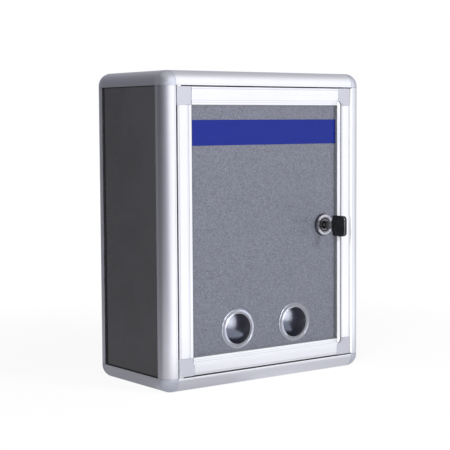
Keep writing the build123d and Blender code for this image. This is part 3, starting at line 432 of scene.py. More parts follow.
def outline_group():
    """Distance inside a rounded rectangle in Y and Z, for marking its edge."""
    inputs = {"Middle": (0.0, 0.0, 0.0), "Half size": (1.0, 1.0, 1.0), "Corner": 0.005}
    tree, start, end = shader_group("rounded_outline", inputs, "Inside")
    offset = vector_step(tree, "SUBTRACT", start["Vector"], start["Middle"])
    beyond = vector_step(tree, "SUBTRACT", vector_step(tree, "ABSOLUTE", offset), start["Half size"])
    corner = add(tree, "ShaderNodeCombineXYZ", X=start["Corner"], Y=start["Corner"], Z=start["Corner"])
    eased = vector_step(tree, "ADD", beyond, corner)
    eased = vector_step(tree, "MULTIPLY", eased, (0.0, 1.0, 1.0))
    outer = vector_step(tree, "LENGTH", vector_step(tree, "MAXIMUM", eased))
    sides = parts(tree, eased)
    inner = maths(tree, "MINIMUM", maths(tree, "MAXIMUM", sides["Y"], sides["Z"]), 0.0)
    reach = maths(tree, "SUBTRACT", maths(tree, "ADD", outer, inner), start["Corner"])
    tree.links.new(maths(tree, "MULTIPLY", reach, -1.0), end["Inside"])
    return tree


def inside_group():
    """Distance inside an upright box given by two corners, negative outside it."""
    inputs = {"Low": (0.0, 0.0, 0.0), "High": (1.0, 1.0, 1.0)}
    tree, start, end = shader_group("inside_box", inputs, "Depth")
    depths = []
    for first, second in (("Vector", "Low"), ("High", "Vector")):
        depths += parts(tree, vector_step(tree, "SUBTRACT", start[first], start[second]))
    least = depths[0]
    for depth in depths[1:]:
        least = maths(tree, "MINIMUM", least, depth)
    tree.links.new(least, end["Depth"])
    return tree


def groove_shade_group():
    """Thin lines of painted groove shade along the bars of a frame, at given distances from the frame's outer
    edge.
    """
    insets = {"First": 0.002, "Second": 0.012, "Third": 0.014}
    inputs = {"Middle": (0.0, 0.0, 0.0), "Across": (1.0, 0.0, 0.0), "Half size": 0.1,
              **insets, "Bead width": 0.0006}
    tree, start, end = shader_group("bead_lines", inputs, "Value")
    offset = vector_step(tree, "SUBTRACT", start["Vector"], start["Middle"])
    reach = maths(tree, "ABSOLUTE", vector_step(tree, "DOT_PRODUCT", offset, start["Across"]), 0.0)
    inset = maths(tree, "SUBTRACT", start["Half size"], reach)
    mask = 0.0
    for label in insets:
        gap = maths(tree, "ABSOLUTE", maths(tree, "SUBTRACT", inset, start[label]), 0.0)
        mask = maths(tree, "MAXIMUM", fall(tree, gap, 0.0, start["Bead width"]), mask)
    tree.links.new(mask, end["Value"])
    return tree


def surround_group():
    """Brightness of the studio in each direction round the upright axis."""
    tree, start, end = node_group("surround", "ShaderNodeTree", {"Vector": "Vector"}, {"Color": "Color"})
    sides = parts(tree, start["Vector"])
    angle = maths(tree, "ARCTAN2", sides["Y"], sides["X"])
    ramp = add(tree, "ShaderNodeValToRGB", Fac=spread(tree, angle, -math.pi, math.pi, 0.0, 1.0))
    elements = ramp.color_ramp.elements
    while len(elements) < len(SURROUND):
        elements.new(0.5)
    for element, (azimuth, level) in zip(elements, SURROUND):
        blue_share = DIM_BLUE_SHARE if level < DIM_LEVEL else BRIGHT_BLUE_SHARE
        element.position = (azimuth + TURN_ROUND / 2) / TURN_ROUND
        element.color = (level, level, level * blue_share, 1.0)
    tree.links.new(ramp.outputs["Color"], end["Color"])
    return tree


# Geometry node groups

def soft_edges():
    """Join a CAD mesh's seams and shade its curved faces smooth."""
    tree, start, end = shape_group("soft_edges", {"Geometry": "Geometry", "Sharp angle": SHADE_ANGLE})
    tree.interface.items_tree["Sharp angle"].subtype = "ANGLE"
    bare = add(tree, "GeometryNodeRemoveAttribute", Geometry=start["Geometry"], Name="custom_normal")
    joined = add(tree, "GeometryNodeMergeByDistance", Geometry=bare, Distance=SEAM_GAP)
    turn = tree.nodes.new("GeometryNodeInputMeshEdgeAngle").outputs["Unsigned Angle"]
    low = add(tree, "FunctionNodeCompare", A=turn, B=start["Sharp angle"])
    low.operation = "LESS_THAN"
    faces = add(tree, "GeometryNodeSetShadeSmooth", Geometry=joined)
    faces.domain = "FACE"
    edges = add(tree, "GeometryNodeSetShadeSmooth", Geometry=faces, Shade_Smooth=low)
    edges.domain = "EDGE"
    fill(tree, end["Geometry"], edges)
    return tree


def outer_material():
    """Give the faces outside a radius round an axis along Y their own material."""
    inputs = {"Geometry": "Geometry", "Axis": "Vector", "Radius": "Float", "Material": "Material"}
    tree, start, end = shape_group("outer_material", inputs)
    place = tree.nodes.new("GeometryNodeInputPosition").outputs["Position"]
    radius = axis_distance(tree, place, start["Axis"])
    outside = add(tree, "FunctionNodeCompare", A=radius, B=start["Radius"])
    outside.operation = "GREATER_THAN"
    given = add(tree, "GeometryNodeSetMaterial", Geometry=start["Geometry"], Selection=outside,
                Material=start["Material"])
    fill(tree, end["Geometry"], given)
    return tree


def grip_ribs():
    """Set small ribs in a circle round an axis along Y."""
    inputs = {"Centre": "Vector", "Count": "Int", "Radius": "Float", "Rib size": "Vector",
              "Material": "Material"}
    tree, start, end = shape_group("grip_ribs", inputs)
    circle = add(tree, "GeometryNodeMeshCircle", Vertices=start["Count"], Radius=start["Radius"])
    upright = add(tree, "GeometryNodeTransform", Geometry=circle, Rotation=(math.pi / 2, 0.0, 0.0))
    place = tree.nodes.new("GeometryNodeInputPosition").outputs["Position"]
    outwards = add(tree, "FunctionNodeAlignRotationToVector", Vector=place)
    outwards.axis = "X"
    outwards.pivot_axis = "Y"
    rib = add(tree, "GeometryNodeMeshCube", Size=start["Rib size"])
    copies = add(tree, "GeometryNodeInstanceOnPoints", Points=upright, Instance=rib, Rotation=outwards)
    real = add(tree, "GeometryNodeRealizeInstances", Geometry=copies)
    moved = add(tree, "GeometryNodeTransform", Geometry=real, Translation=start["Centre"])
    given = add(tree, "GeometryNodeSetMaterial", Geometry=moved, Material=start["Material"])
    fill(tree, end["Geometry"], given)
    return tree


SHARED = {}


def shared(maker):
    """The node group that a function makes, made once."""
    if maker not in SHARED:
        SHARED[maker] = maker()
    return SHARED[maker]


def use_group(tree, maker, vector, **values):
    """Add a shared shader group fed with a vector; values are numbers or vectors."""
    node = tree.nodes.new("ShaderNodeGroup")
    node.node_tree = shared(maker)
    tree.links.new(vector, node.inputs["Vector"])
    for label, value in values.items():
        node.inputs[label.replace("_", " ")].default_value = value
    return node.outputs


def grow(obj, maker, **values):
    """Add a geometry nodes modifier to an object and set its named inputs."""
    tree = shared(maker)
    modifier = obj.modifiers.new(tree.name.replace("_", " "), "NODES")
    modifier.node_group = tree
    for item in tree.interface.items_tree:
        label = item.name.replace(" ", "_")
        if item.in_out == "INPUT" and label in values:
            modifier[item.identifier] = values[label]
    return modifier


def grown_piece(name, maker, **values):
    """New object made by a geometry nodes group, turned into a plain mesh."""
    obj = bpy.data.objects.new(name, bpy.data.meshes.new(name))
    bpy.context.scene.collection.objects.link(obj)
    modifier = grow(obj, maker, **values)
    depsgraph = bpy.context.evaluated_depsgraph_get()
    mesh = bpy.data.meshes.new_from_object(obj.evaluated_get(depsgraph))
    obj.modifiers.remove(modifier)
    obj.data = mesh
    return obj


def soften(obj, width):
    """Smooth a CAD node's curved faces and ease its sharp edges."""
    grow(obj, soft_edges)
    if width:
        whole = obj.modifiers.new("whole faces", "DECIMATE")
        whole.decimate_type = "DISSOLVE"
        whole.angle_limit = FLAT_ANGLE
        ease = obj.modifiers.new("eased", "BEVEL")
        ease.width = width
        ease.segments = EASE_SEGMENTS
        ease.limit_method = "ANGLE"
        ease.angle_limit = EASE_ANGLE
        ease.harden_normals = True
        ease.use_clamp_overlap = True


def finish(names, material, width):
    """Ease the edges of CAD nodes and give them their material."""
    for name in names:
        obj = NODES[name]
        soften(obj, width)
        obj.data.materials.clear()
        obj.data.materials.append(material)


class Surface:
    """A material being built: its tree, its shader and its Object coordinates."""

    def __init__(self, name, slot, **values):
        """Start a material; values are for the shader's own sockets, spaces written as underscores."""
        self.material = bpy.data.materials.new(name)
        self.material.use_nodes = True
        self.material["slot"] = slot
        self.tree = self.material.node_tree
        self.shader = self.tree.nodes["Principled BSDF"]
        self.place = self.tree.nodes.new("ShaderNodeTexCoord").outputs["Object"]
        for label, value in values.items():
            self.shader.inputs[label.replace("_", " ")].default_value = value

    def use(self, maker, **values):
        """Add a shared group fed with Object coordinates."""
        return use_group(self.tree, maker, self.place, **values)

    def grain(self, size, contrast):
        """Fine even grain of a given size."""
        return self.use(grain_group, Grain_size=size, Contrast=contrast)["Value"]

    def patches(self, size):
        """Soft patches of a given size."""
        return self.use(patches_group, Patch_size=size)["Value"]

    def feed(self, socket, label):
        """Link a socket into the shader."""
        self.tree.links.new(socket, self.shader.inputs[label])

    def vary(self, label, mask, low, high):
        """Drive a shader value between two numbers by a mask."""
        self.feed(spread(self.tree, mask, 0.0, 1.0, low, high), label)

    def blend(self, mask, first, second):
        """Colour between two colours or colour sockets by a mask."""
        return mixed_colour(self.tree, mask, first, second)

    def finished(self, colour, roughness, heights):
        """The material, with colour and roughness each between two ends by a mask, and its bumps."""
        self.feed(self.blend(*colour), "Base Color")
        self.vary("Roughness", *roughness)
        return self.bumped(heights)

    def bumped(self, heights):
        """The material, with a chain of bumps from (height socket, distance in metres) pairs."""
        normal = None
        for socket, distance in heights:
            node = add(self.tree, "ShaderNodeBump", Strength=1.0, Distance=distance, Height=socket)
            if normal is not None:
                self.tree.links.new(normal, node.inputs["Normal"])
            normal = node.outputs["Normal"]
        self.feed(normal, "Normal")
        return self.material


def shade(colour, share):
    """The same colour made lighter or darker by a share."""
    return tuple(min(1.0, part * share) for part in colour)


def shades(colour, low_share, high_share):
    """Two shades of a colour."""
    return shade(colour, low_share), shade(colour, high_share)


def middle_of(name):
    """Middle of a piece's box."""
    low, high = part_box(name)
    return tuple((low + high) / 2)


# Masks and materials

def box_mask(surface, low, high):
    """Mask of the inside of an upright box given by two corners."""
    depth = surface.use(inside_group, Low=low, High=high)["Depth"]
    return rise(surface.tree, depth, 0.0, MASK_BLUR)


def painted_gap_shade(surface):
    """Mask of painted shade, near black, on the lips that the door closes against, in the gap behind the
    door.
    """
    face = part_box("bottom_left_rail")[1].z
    low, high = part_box("front_post_left")
    door_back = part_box("hinge_stile")[1].y
    return box_mask(surface, (low.x + face, door_back, face),
                    (-low.x - face, door_back + LIP_REACH, high.z + low.z - face))


def lit_wall(surface):
    """Mask of the lock post's narrow wall beside the door, whose dull edge catches light."""
    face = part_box("bottom_left_rail")[1].z
    low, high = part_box("front_post_right")
    wall = high.x - face
    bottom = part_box("door_bottom_rail")[0].z
    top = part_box("door_top_rail")[1].z
    return box_mask(surface, (wall - WALL_REACH, low.y - face, bottom),
                    (wall + WALL_REACH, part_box("lock_stile")[1].y, top))


def bead_lines(surface, level):
    """Mask of the thin lines of painted groove shade along the door's bars, for its rails where level is
    true, else its stiles.
    """
    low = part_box("hinge_stile")[0]
    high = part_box("lock_stile")[1]
    low.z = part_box("door_bottom_rail")[0].z
    high.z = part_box("door_top_rail")[1].z
    half = (high - low) / 2
    across, half_size, insets = (1.0, 0.0, 0.0), half.x, STILE_GROOVES
    if level:
        across, half_size, insets = (0.0, 0.0, 1.0), half.z, RAIL_GROOVES
    return surface.use(groove_shade_group, Middle=tuple((low + high) / 2), Across=across, Half_size=half_size,
                       First=insets[0], Second=insets[1], Third=insets[-1], Bead_width=GROOVE_WIDTH)["Value"]


def anodised(name, across, metal, extra):
    """Satin anodised aluminium with fine drawing lines along the bar."""
    surface = Surface(name, "anodised_aluminium", Metallic=1.0)
    lines = surface.use(lines_group, Across=across, Line_spacing=metal.line_spacing)
    patches = surface.patches(size=0.06)
    colour = tuple(metal.colour)
    tone = surface.blend(lines["Broad"], *shades(colour, low_share=0.975, high_share=1.02))
    tone = surface.blend(patches, tone, colour)
    # The lips behind the door are painted near black as the shade of the gap.
    if extra == "gap_shade":
        gap_shade = painted_gap_shade(surface)
        tone = surface.blend(gap_shade, tone, GAP_SHADE_COLOUR)
        surface.feed(maths(surface.tree, "SUBTRACT", 1.0, gap_shade), "Metallic")
    if extra == "wall":
        surface.feed(maths(surface.tree, "SUBTRACT", 1.0, lit_wall(surface)), "Metallic")
    # The door's thin lines are painted shade of grooves along its bars.
    if extra in ("stile beads", "rail beads"):
        painted_grooves = bead_lines(surface, extra == "rail beads")
        tone = surface.blend(painted_grooves, tone, shade(colour, GROOVE_SHADE_SHARE))
    surface.feed(tone, "Base Color")
    least, most = (metal.roughness + part for part in LINE_ROUGHNESS)
    rough = spread(surface.tree, lines["Value"], 0.0, 1.0, least, most)
    soft = spread(surface.tree, patches, 0.0, 1.0, *PATCH_ROUGHNESS)
    surface.feed(maths(surface.tree, "ADD", rough, soft), "Roughness")
    grain = surface.grain(size=0.00025, contrast=1.0)
    return surface.bumped([(lines["Value"], 2.5 * MICRON), (grain, 1.5 * MICRON)])


def strip_metal(metal):
    """White lacquered pull strip whose narrow front edge and rounded ends are dark."""
    surface = Surface("strip_metal", "anodised_aluminium", Metallic=0.0)
    lines = surface.use(lines_group, Across=ALONG_Z, Line_spacing=metal.line_spacing)
    low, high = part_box("pull_strip")
    middle = (low + high) / 2
    middle.y = low.y + STRIP_DEPTH
    half = (high - low) / 2
    half.y = STRIP_DEPTH
    outline = surface.use(outline_group, Middle=tuple(middle), Half_size=tuple(half), Corner=STRIP_CORNER)
    edge = fall(surface.tree, outline["Inside"], *STRIP_EDGE)
    tone = surface.blend(lines["Broad"], *shades(metal.colour, low_share=0.97, high_share=1.02))
    return surface.finished(
        colour=(edge, tone, STRIP_EDGE_COLOUR),
        roughness=(lines["Value"], *(metal.roughness + part for part in STRIP_ROUGHNESS)),
        heights=[(lines["Value"], 2.5 * MICRON)])


def corner_metal(metal):
    """Cast corner with a satin silver finish that shows a very fine flake."""
    surface = Surface("corner_metal", "corner_casting", Metallic=0.88)
    flake = surface.grain(size=0.00022, contrast=1.4)
    patches = surface.patches(size=0.012)
    return surface.finished(
        colour=(flake, *shades(metal.corner_colour, low_share=0.93, high_share=1.07)),
        roughness=(patches, 0.28, 0.33),
        heights=[(patches, 10 * MICRON), (flake, 3 * MICRON)])


def corner_moulding():
    """Light grey moulded blocks of the door frame with a fine matte texture."""
    surface = Surface("corner_moulding", "corner_plastic")
    grain = surface.grain(size=0.0003, contrast=1.3)
    return surface.finished(
        colour=(grain, (0.31, 0.315, 0.36), (0.36, 0.365, 0.41)),
        roughness=(surface.patches(size=0.01), 0.42, 0.52),
        heights=[(grain, 6 * MICRON)])


def case_sheet(boards):
    """Glossy dark sheet with a faint orange peel and handling marks."""
    surface = Surface("case_sheet", "case_board", Coat_Weight=0.2, Coat_Roughness=0.08)
    patches = surface.patches(size=0.07)
    return surface.finished(
        colour=(patches, *shades(boards.case_colour, low_share=0.94, high_share=1.08)),
        roughness=(patches, 0.16, 0.24),
        heights=[(surface.grain(size=0.004, contrast=1.0), 10 * MICRON)])


def door_sheet(boards):
    """Grey sheet with a fine sandy grain of dark and light specks."""
    surface = Surface("door_sheet", "door_board", Metallic=0.25)
    grain = surface.grain(size=boards.grain_size, contrast=1.9)
    fine = surface.grain(size=boards.grain_size * SPECK_SIZE_SHARE, contrast=1.6)
    tone = surface.blend(grain, *shades(boards.door_colour, low_share=0.45, high_share=1.55))
    specks = spread(surface.tree, fine, *SPECK_RANGE, 0.0, SPECK_SHARE)
    return surface.finished(
        colour=(specks, tone, shade(boards.door_colour, share=1.7)),
        roughness=(surface.patches(size=0.05), 0.4, 0.48),
        heights=[(grain, 40 * MICRON), (fine, 10 * MICRON)])


def band_film(boards):
    """Blue film with a slight mottle and a satin face."""
    surface = Surface("band_film", "band_film", Specular_IOR_Level=0.2)
    grain = surface.grain(size=0.0007, contrast=1.5)
    return surface.finished(
        colour=(grain, *shades(boards.band_colour, low_share=0.88, high_share=1.12)),
        roughness=(surface.patches(size=0.02), 0.3, 0.38),
        heights=[(grain, 8 * MICRON)])


def seal_rubber(name, colour):
    """Dull, slightly uneven rubber, whose dark colour is painted shade of the lines round the sheets."""
    surface = Surface(name, "seal_rubber")
    grain = surface.grain(size=0.0004, contrast=1.3)
    return surface.finished(
        colour=(grain, *shades(colour, low_share=0.7, high_share=1.3)),
        roughness=(grain, 0.55, 0.7),
        heights=[(grain, 12 * MICRON)])


def clear_dome():
    """Barely see-through dome, thin enough not to bend the view, whose near-black colour is painted shade of
    the box's inside, with faint flow waves.
    """
    surface = Surface("clear_dome", "clear_plastic", IOR=1.29, Alpha=0.98)
    patches = surface.patches(size=0.008)
    # The near-black navy is painted shade of the box's inside, seen through what is a clear dome.
    return surface.finished(
        colour=(patches, (0.001, 0.001, 0.005), (0.002, 0.002, 0.009)),
        roughness=(patches, 0.19, 0.22),
        heights=[(patches, 3 * MICRON)])


def clear_flange(side):
    """Frosted flange of one window, whose face falls away from the dome and rises again to its rim."""
    surface = Surface("clear_flange_" + side, "clear_plastic", Transmission_Weight=0.3, IOR=1.45)
    rings = surface.use(rings_group, Axis=middle_of("window_lens_" + side), Ring_spacing=0.0006)
    rim = FLANGE_RADIUS - RIM_WIDTH
    inner = spread(surface.tree, rings["Radius"], DOME_RADIUS, rim, 1.0, 0.0)
    outer = spread(surface.tree, rings["Radius"], rim, FLANGE_RADIUS, 0.0, 1.0)
    rays = surface.tree.nodes.new("ShaderNodeLightPath").outputs
    passing = maths(surface.tree, "MAXIMUM", rays["Is Shadow Ray"], rays["Is Diffuse Ray"])
    surface.vary("Alpha", passing, 1.0, FLANGE_SHADOW_SHARE)
    return surface.finished(
        colour=(rings["Value"], (0.09, 0.095, 0.11), (0.34, 0.345, 0.39)),
        roughness=(surface.patches(size=0.003), 0.14, 0.24),
        heights=[(inner, (rim - DOME_RADIUS) * FLANGE_SLOPE), (outer, RIM_WIDTH * RIM_SLOPE),
                 (rings["Value"], 30 * MICRON)])


def ring_moulding():
    """Black moulded ring."""
    surface = Surface("ring_moulding", "ring_plastic")
    grain = surface.grain(size=0.0003, contrast=1.3)
    return surface.finished(
        colour=(grain, (0.016, 0.016, 0.018), (0.03, 0.03, 0.033)),
        roughness=(grain, 0.4, 0.52),
        heights=[(grain, 8 * MICRON)])


def washer_moulding():
    """Off-white washer plastic."""
    surface = Surface("washer_moulding", "washer_plastic")
    grain = surface.grain(size=0.0003, contrast=1.0)
    return surface.finished(
        colour=(grain, (0.62, 0.62, 0.6), (0.7, 0.7, 0.68)),
        roughness=(grain, 0.35, 0.45),
        heights=[(grain, 4 * MICRON)])


def chrome():
    """Bright plating with fine turned rings and a painted dark reflection round its rim."""
    surface = Surface("chrome", "chrome", Metallic=1.0)
    rings = surface.use(rings_group, Axis=middle_of("lock_housing"), Ring_spacing=0.0002)
    tone = surface.blend(surface.patches(size=0.004), (0.4, 0.4, 0.44), (0.62, 0.62, 0.66))
    # The dark line round the rim is a painted dark reflection on the ring's side wall.
    rim = rise(surface.tree, rings["Radius"], LOCK_RIM - LOCK_RIM_WIDTH, LOCK_RIM)
    return surface.finished(
        colour=(rim, tone, LOCK_RIM_REFLECTION_COLOUR),
        roughness=(rings["Value"], 0.12, 0.26),
        heights=[(rings["Value"], 2 * MICRON)])


def plug_metal():
    """Darker face of the lock's core with turned rings, its lighter rings painted glints."""
    surface = Surface("plug_metal", "plug_metal", Metallic=1.0)
    rings = surface.use(rings_group, Axis=middle_of("lock_housing"), Ring_spacing=0.0011)
    # The lighter rings are painted glints.
    painted_glint = rise(surface.tree, rings["Value"], *PAINTED_GLINT_RANGE)
    return surface.finished(
        colour=(painted_glint, (0.015, 0.015, 0.018), (0.3, 0.3, 0.31)),
        roughness=(rings["Value"], 0.2, 0.34),
        heights=[(rings["Value"], 4 * MICRON)])


def plated_steel():
    """Zinc-plated steel with a faint mottled sheen."""
    surface = Surface("plated_steel", "steel", Metallic=1.0)
    patches = surface.patches(size=0.003)
    return surface.finished(
        colour=(patches, (0.5, 0.51, 0.53), (0.64, 0.64, 0.66)),
        roughness=(patches, 0.25, 0.4),
        heights=[(surface.grain(size=0.00025, contrast=1.4), 4 * MICRON)])


def key_metal():
    """Nickel-plated key blade with milling lines across it."""
    surface = Surface("key_metal", "key_metal", Metallic=1.0)
    lines = surface.use(lines_group, Across=ALONG_BLADE, Line_spacing=0.00018)
    return surface.finished(
        colour=(lines["Broad"], (0.56, 0.55, 0.52), (0.7, 0.69, 0.66)),
        roughness=(lines["Value"], 0.18, 0.32),
        heights=[(lines["Value"], 4 * MICRON)])


def key_moulding():
    """Glossy black key grip with fine handling scratches."""
    surface = Surface("key_moulding", "key_plastic", Specular_IOR_Level=0.4)
    patches = surface.patches(size=0.006)
    return surface.finished(
        colour=(patches, (0.003, 0.003, 0.0035), (0.006, 0.006, 0.0065)),
        roughness=(patches, 0.16, 0.28),
        heights=[(surface.grain(size=0.0005, contrast=1.2), 5 * MICRON)])


# Operators, one for each kind of piece

class BALLOT_OT_extrusions(bpy.types.Operator):
    """Finish the aluminium bars of the case and of the door"""

    bl_idname = "ballot.extrusions"
    bl_label = "Extrusions"

    def execute(self, context):
        metal = context.scene.ballot_metal
        # The front bars carry painted shade on the lips behind the door, and the door's bars carry painted
        # shade of their grooves.
        kinds = (("taped_upright", ("front_post_left",), ALONG_Z, "gap_shade"),
                 ("taped_level", ("top_front_rail", "bottom_front_rail"), ALONG_X, "gap_shade"),
                 ("lock_post", ("front_post_right",), ALONG_Z, "wall"),
                 ("door_upright", ("hinge_stile", "lock_stile"), ALONG_Z, "stile beads"),
                 ("door_level", ("door_bottom_rail", "door_top_rail"), ALONG_X, "rail beads"),
                 ("anodised_upright", ("back_post_left", "back_post_right"), ALONG_Z, ""),
                 ("anodised_level", ("top_back_rail", "bottom_back_rail"), ALONG_X, ""),
                 ("anodised_deep", DEEP_BARS, ALONG_Y, ""))
        for name, bars, across, extra in kinds:
            finish(bars, anodised(name, across, metal, extra), metal.edge_width)
        finish(("pull_strip",), strip_metal(metal), metal.edge_width)
        return {"FINISHED"}


class BALLOT_OT_corners(bpy.types.Operator):
    """Finish the ball corners of the case and the blocks of the door"""

    bl_idname = "ballot.corners"
    bl_label = "Corners"

    def execute(self, context):
        metal = context.scene.ballot_metal
        finish(CASE_CORNERS, corner_metal(metal), metal.edge_width)
        finish(DOOR_CORNERS, corner_moulding(), metal.edge_width)
        return {"FINISHED"}


class BALLOT_OT_sheets(bpy.types.Operator):
    """Finish the sheets of the case and the door, their seals and the plain band"""

    bl_idname = "ballot.sheets"
    bl_label = "Sheets and band"

    def execute(self, context):
        boards = context.scene.ballot_boards
        finish(CASE_SHEETS, case_sheet(boards), SHEET_EDGE)
        finish(("door_panel",), door_sheet(boards), SHEET_EDGE)
        finish(("header_band",), band_film(boards), BAND_EDGE)
        # The dark seals carry painted shade of the lines round the sheets.
        finish(CASE_SEALS, seal_rubber("seal_rubber", boards.seal_shade_colour), SHEET_EDGE)
        finish(("door_seal",), seal_rubber("door_seal_rubber", boards.door_seal_shade_colour), SHEET_EDGE)
        return {"FINISHED"}


class BALLOT_OT_windows(bpy.types.Operator):
    """Finish the clear domes and the rings behind them"""

    bl_idname = "ballot.windows"
    bl_label = "Windows"

    def execute(self, context):
        dome = clear_dome()
        black = ring_moulding()
        for side in SIDES:
            finish(("window_lens_" + side,), dome, width=0.0)
            lens = NODES["window_lens_" + side]
            flange = clear_flange(side)
            lens.data.materials.append(flange)
            grow(lens, outer_material, Axis=middle_of("window_lens_" + side), Radius=DOME_RADIUS,
                 Material=flange)
            finish(("window_ring_" + side,), black, SHEET_EDGE)
            low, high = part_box("window_ring_" + side)
            size = (RIB_DEPTH, (high.y - low.y) * RIB_LENGTH_SHARE, RIB_WIDTH)
            ribs = grown_piece("window_ring_ribs_" + side, grip_ribs, Centre=tuple((low + high) / 2),
                               Count=RIB_COUNT, Radius=(high.x - low.x) / 2, Rib_size=size, Material=black)
            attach(ribs, "door")
        return {"FINISHED"}


class BALLOT_OT_lock(bpy.types.Operator):
    """Finish the cam lock and its key"""

    bl_idname = "ballot.lock"
    bl_label = "Lock and key"

    def execute(self, context):
        finish(("lock_nut", "lock_cam", "cam_screw", "hinge_pins"), plated_steel(), LOCK_EDGE)
        finish(("lock_housing",), chrome(), LOCK_EDGE)
        finish(("lock_plug",), plug_metal(), LOCK_EDGE)
        finish(("key_blade",), key_metal(), LOCK_EDGE)
        finish(("key_bow",), key_moulding(), LOCK_EDGE)
        finish(("pivot_washers",), washer_moulding(), LOCK_EDGE)
        return {"FINISHED"}


# Stage

def studio_world(light):
    """White to the camera, the surround to shiny surfaces and an even light to matte ones."""
    world = bpy.data.worlds.new("studio")
    bpy.context.scene.world = world
    world.use_nodes = True
    tree = world.node_tree
    tree.nodes.clear()
    direction = tree.nodes.new("ShaderNodeTexCoord").outputs["Generated"]
    surround = use_group(tree, surround_group, direction)["Color"]
    above = rise(tree, parts(tree, direction)["Z"], OVERHEAD_START, 1.0)
    reflected = mixed_colour(tree, above, surround, (light.overhead,) * 3)
    rays = tree.nodes.new("ShaderNodeLightPath").outputs
    seen = maths(tree, "MAXIMUM", rays["Is Camera Ray"], rays["Is Transmission Ray"])
    matte = maths(tree, "MULTIPLY", rays["Is Diffuse Ray"], light.ambient)
    white = maths(tree, "MAXIMUM", seen, matte)
    colour = mixed_colour(tree, rays["Is Glossy Ray"], white, reflected)
    add(tree, "ShaderNodeOutputWorld", Surface=add(tree, "ShaderNodeBackground", Color=colour))


def floor_seen(tree, reach, rays, light):
    """White floor that keeps a share of its real shadow near the object."""
    far = rise(tree, reach, *SHADOW_FADE)
    white = spread(tree, far, 0.0, 1.0, 1.0 - light.floor_shadow_share, 1.0)
    matte = add(tree, "ShaderNodeBsdfDiffuse", Color=FLOOR_COLOUR)
    bright = add(tree, "ShaderNodeEmission", Strength=FLOOR_BRIGHTNESS)
    return mixed_shader(tree, maths(tree, "MULTIPLY", rays["Is Camera Ray"], white), matte, bright)


def floor_mirrored(tree, place, reach, light):
    """What shiny surfaces see on the floor: the surround, evened out close to the object."""
    sides = parts(tree, place)
    close = fall(tree, reach, *CLOSE_FADE)
    evenness = spread(tree, reach, *EVEN_FADE, light.floor_evenness_share, EVEN_LEAST_SHARE, True)
    foot = spread(tree, sides["Y"], *FOOT_FADE_Y, light.foot_evenness_share, 0.0, True)
    evenness = maths(tree, "MAXIMUM", evenness, maths(tree, "MULTIPLY", foot, close))
    colour = mixed_colour(tree, evenness, use_group(tree, surround_group, place)["Color"], EVEN_FLOOR)
    ahead = fall(tree, sides["Y"], *FRONT_FADE_Y)
    beside = rise(tree, sides["X"], *FRONT_FADE_X)
    front = maths(tree, "MULTIPLY", maths(tree, "MULTIPLY", ahead, beside), close)
    colour = mixed_colour(tree, front, colour, FRONT_FLOOR)
    level = spread(tree, reach, *MIRROR_FADE, light.near_floor_share, 1.0, True)
    return add(tree, "ShaderNodeEmission", Color=colour, Strength=level)


def studio_floor(light):
    """White floor that keeps a light shadow near the object and shows none of its own edge."""
    bpy.ops.mesh.primitive_plane_add(size=FLOOR_SIZE, location=(0.0, 0.0, 0.0))
    floor = bpy.context.object
    floor.name = "floor"
    material = bpy.data.materials.new("floor")
    material.use_nodes = True
    tree = material.node_tree
    tree.nodes.clear()
    place = tree.nodes.new("ShaderNodeTexCoord").outputs["Object"]
    reach = vector_step(tree, "LENGTH", place)
    rays = tree.nodes.new("ShaderNodeLightPath").outputs
    shader = mixed_shader(tree, rays["Is Glossy Ray"], floor_seen(tree, reach, rays, light),
                          floor_mirrored(tree, place, reach, light))
    add(tree, "ShaderNodeOutputMaterial", Surface=shader)
    floor.data.materials.append(material)


def soft_lamp(name, aim, size, power):
    """Rectangular lamp that looks from one point towards another."""
    data = bpy.data.lights.new(name, "AREA")
    data.shape = "RECTANGLE"
    data.size = size[0]
    data.size_y = size[1]
    data.energy = power
    lamp = bpy.data.objects.new(name, data)
    bpy.context.scene.collection.objects.link(lamp)
    place, target = Vector(aim[0]), Vector(aim[1])
    lamp.location = place
    lamp.rotation_euler = (target - place).to_track_quat("-Z", "Y").to_euler()
    lamp.visible_glossy = False
    lamp.visible_camera = False
    return lamp


def softbox(light):
    """Lamp and its glow on the floor, which only the domes and the key mirror."""
    mirrors = bpy.data.collections.new("mirrors")
    for name in MIRRORING:
        mirrors.objects.link(NODES[name])
    upright = soft_lamp("softbox", SOFTBOX_AIM, light.softbox_size, light.softbox_power)
    upright.data.spread = light.softbox_spread
    glow = soft_lamp("softbox glow", GLOW_AIM, GLOW_SIZE, light.softbox_power * light.glow_share)
    for lamp, colour in ((upright, SOFTBOX_COLOUR), (glow, GLOW_COLOUR)):
        lamp.data.color = colour
        lamp.visible_glossy = True
        lamp.visible_diffuse = False
        lamp.light_linking.receiver_collection = mirrors


def camera(view):
    """Camera that matches the photograph, from its place, turn, rise and roll."""
    data = bpy.data.cameras.new("camera")
    data.lens = view.lens
    data.sensor_width = FILM_WIDTH
    data.sensor_fit = "HORIZONTAL"
    data.clip_start = CLIP_NEAR
    data.clip_end = CLIP_FAR
    obj = bpy.data.objects.new("camera", data)
    bpy.context.scene.collection.objects.link(obj)
    back = Vector((math.sin(view.turn) * math.cos(view.rise),
                   -math.cos(view.turn) * math.cos(view.rise),
                   math.sin(view.rise)))
    right = (-back).cross(Vector((0.0, 0.0, 1.0))).normalized()
    up = right.cross(-back)
    rolled_right = right * math.cos(view.roll) + up * math.sin(view.roll)
    rolled_up = up * math.cos(view.roll) - right * math.sin(view.roll)
    turn = Matrix((rolled_right, rolled_up, back)).transposed()
    obj.matrix_world = Matrix.Translation(Vector(view.place)) @ turn.to_4x4()
    bpy.context.scene.camera = obj


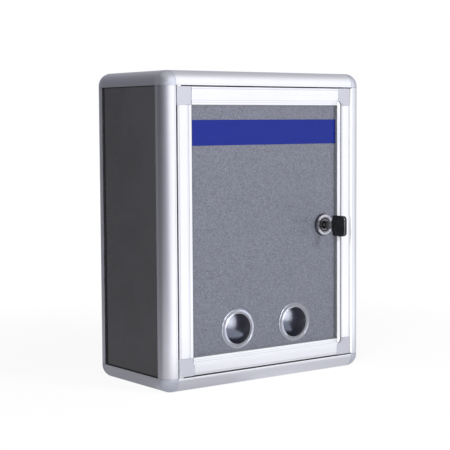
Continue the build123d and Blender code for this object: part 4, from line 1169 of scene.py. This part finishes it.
class BALLOT_OT_stage(bpy.types.Operator):
    """Set up the camera, the lamps, the floor and what shiny surfaces see"""

    bl_idname = "ballot.stage"
    bl_label = "Stage"

    def execute(self, context):
        light = context.scene.ballot_light
        context.scene.view_settings.view_transform = "Standard"
        studio_world(light)
        studio_floor(light)
        soft_lamp("key", KEY_AIM, light.key_size, light.key_power)
        soft_lamp("fill", FILL_AIM, light.fill_size, light.fill_power)
        softbox(light)
        camera(context.scene.ballot_camera)
        return {"FINISHED"}


class BALLOT_PT_panel(bpy.types.Panel):
    """Sidebar panel with the steps in order"""

    bl_idname = "BALLOT_PT_panel"
    bl_label = "Ballot box"
    bl_space_type = "VIEW_3D"
    bl_region_type = "UI"
    bl_category = "Ballot box"

    def draw(self, context):
        column = self.layout.column(align=True)
        for operator in OPERATORS:
            column.operator(operator.bl_idname)


OPERATORS = (BALLOT_OT_extrusions, BALLOT_OT_corners, BALLOT_OT_sheets, BALLOT_OT_windows,
             BALLOT_OT_lock, BALLOT_OT_stage)
SETTINGS = (("ballot_camera", BallotBoxCamera), ("ballot_light", BallotBoxLight),
            ("ballot_metal", BallotBoxMetal), ("ballot_boards", BallotBoxBoards))


def register():
    """Make the settings, operators and panel known to Blender."""
    for name, group in SETTINGS:
        bpy.utils.register_class(group)
        setattr(bpy.types.Scene, name, PointerProperty(type=group))
    for operator in OPERATORS:
        bpy.utils.register_class(operator)
    bpy.utils.register_class(BALLOT_PT_panel)


def unregister():
    """Take everything out again."""
    bpy.utils.unregister_class(BALLOT_PT_panel)
    for operator in reversed(OPERATORS):
        bpy.utils.unregister_class(operator)
    for name, group in reversed(SETTINGS):
        delattr(bpy.types.Scene, name)
        bpy.utils.unregister_class(group)


def main():
    """Register the add-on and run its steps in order."""
    register()
    bpy.ops.ballot.extrusions()
    bpy.ops.ballot.corners()
    bpy.ops.ballot.sheets()
    bpy.ops.ballot.windows()
    bpy.ops.ballot.lock()
    bpy.ops.ballot.stage()


if __name__ == "__main__":
    main()
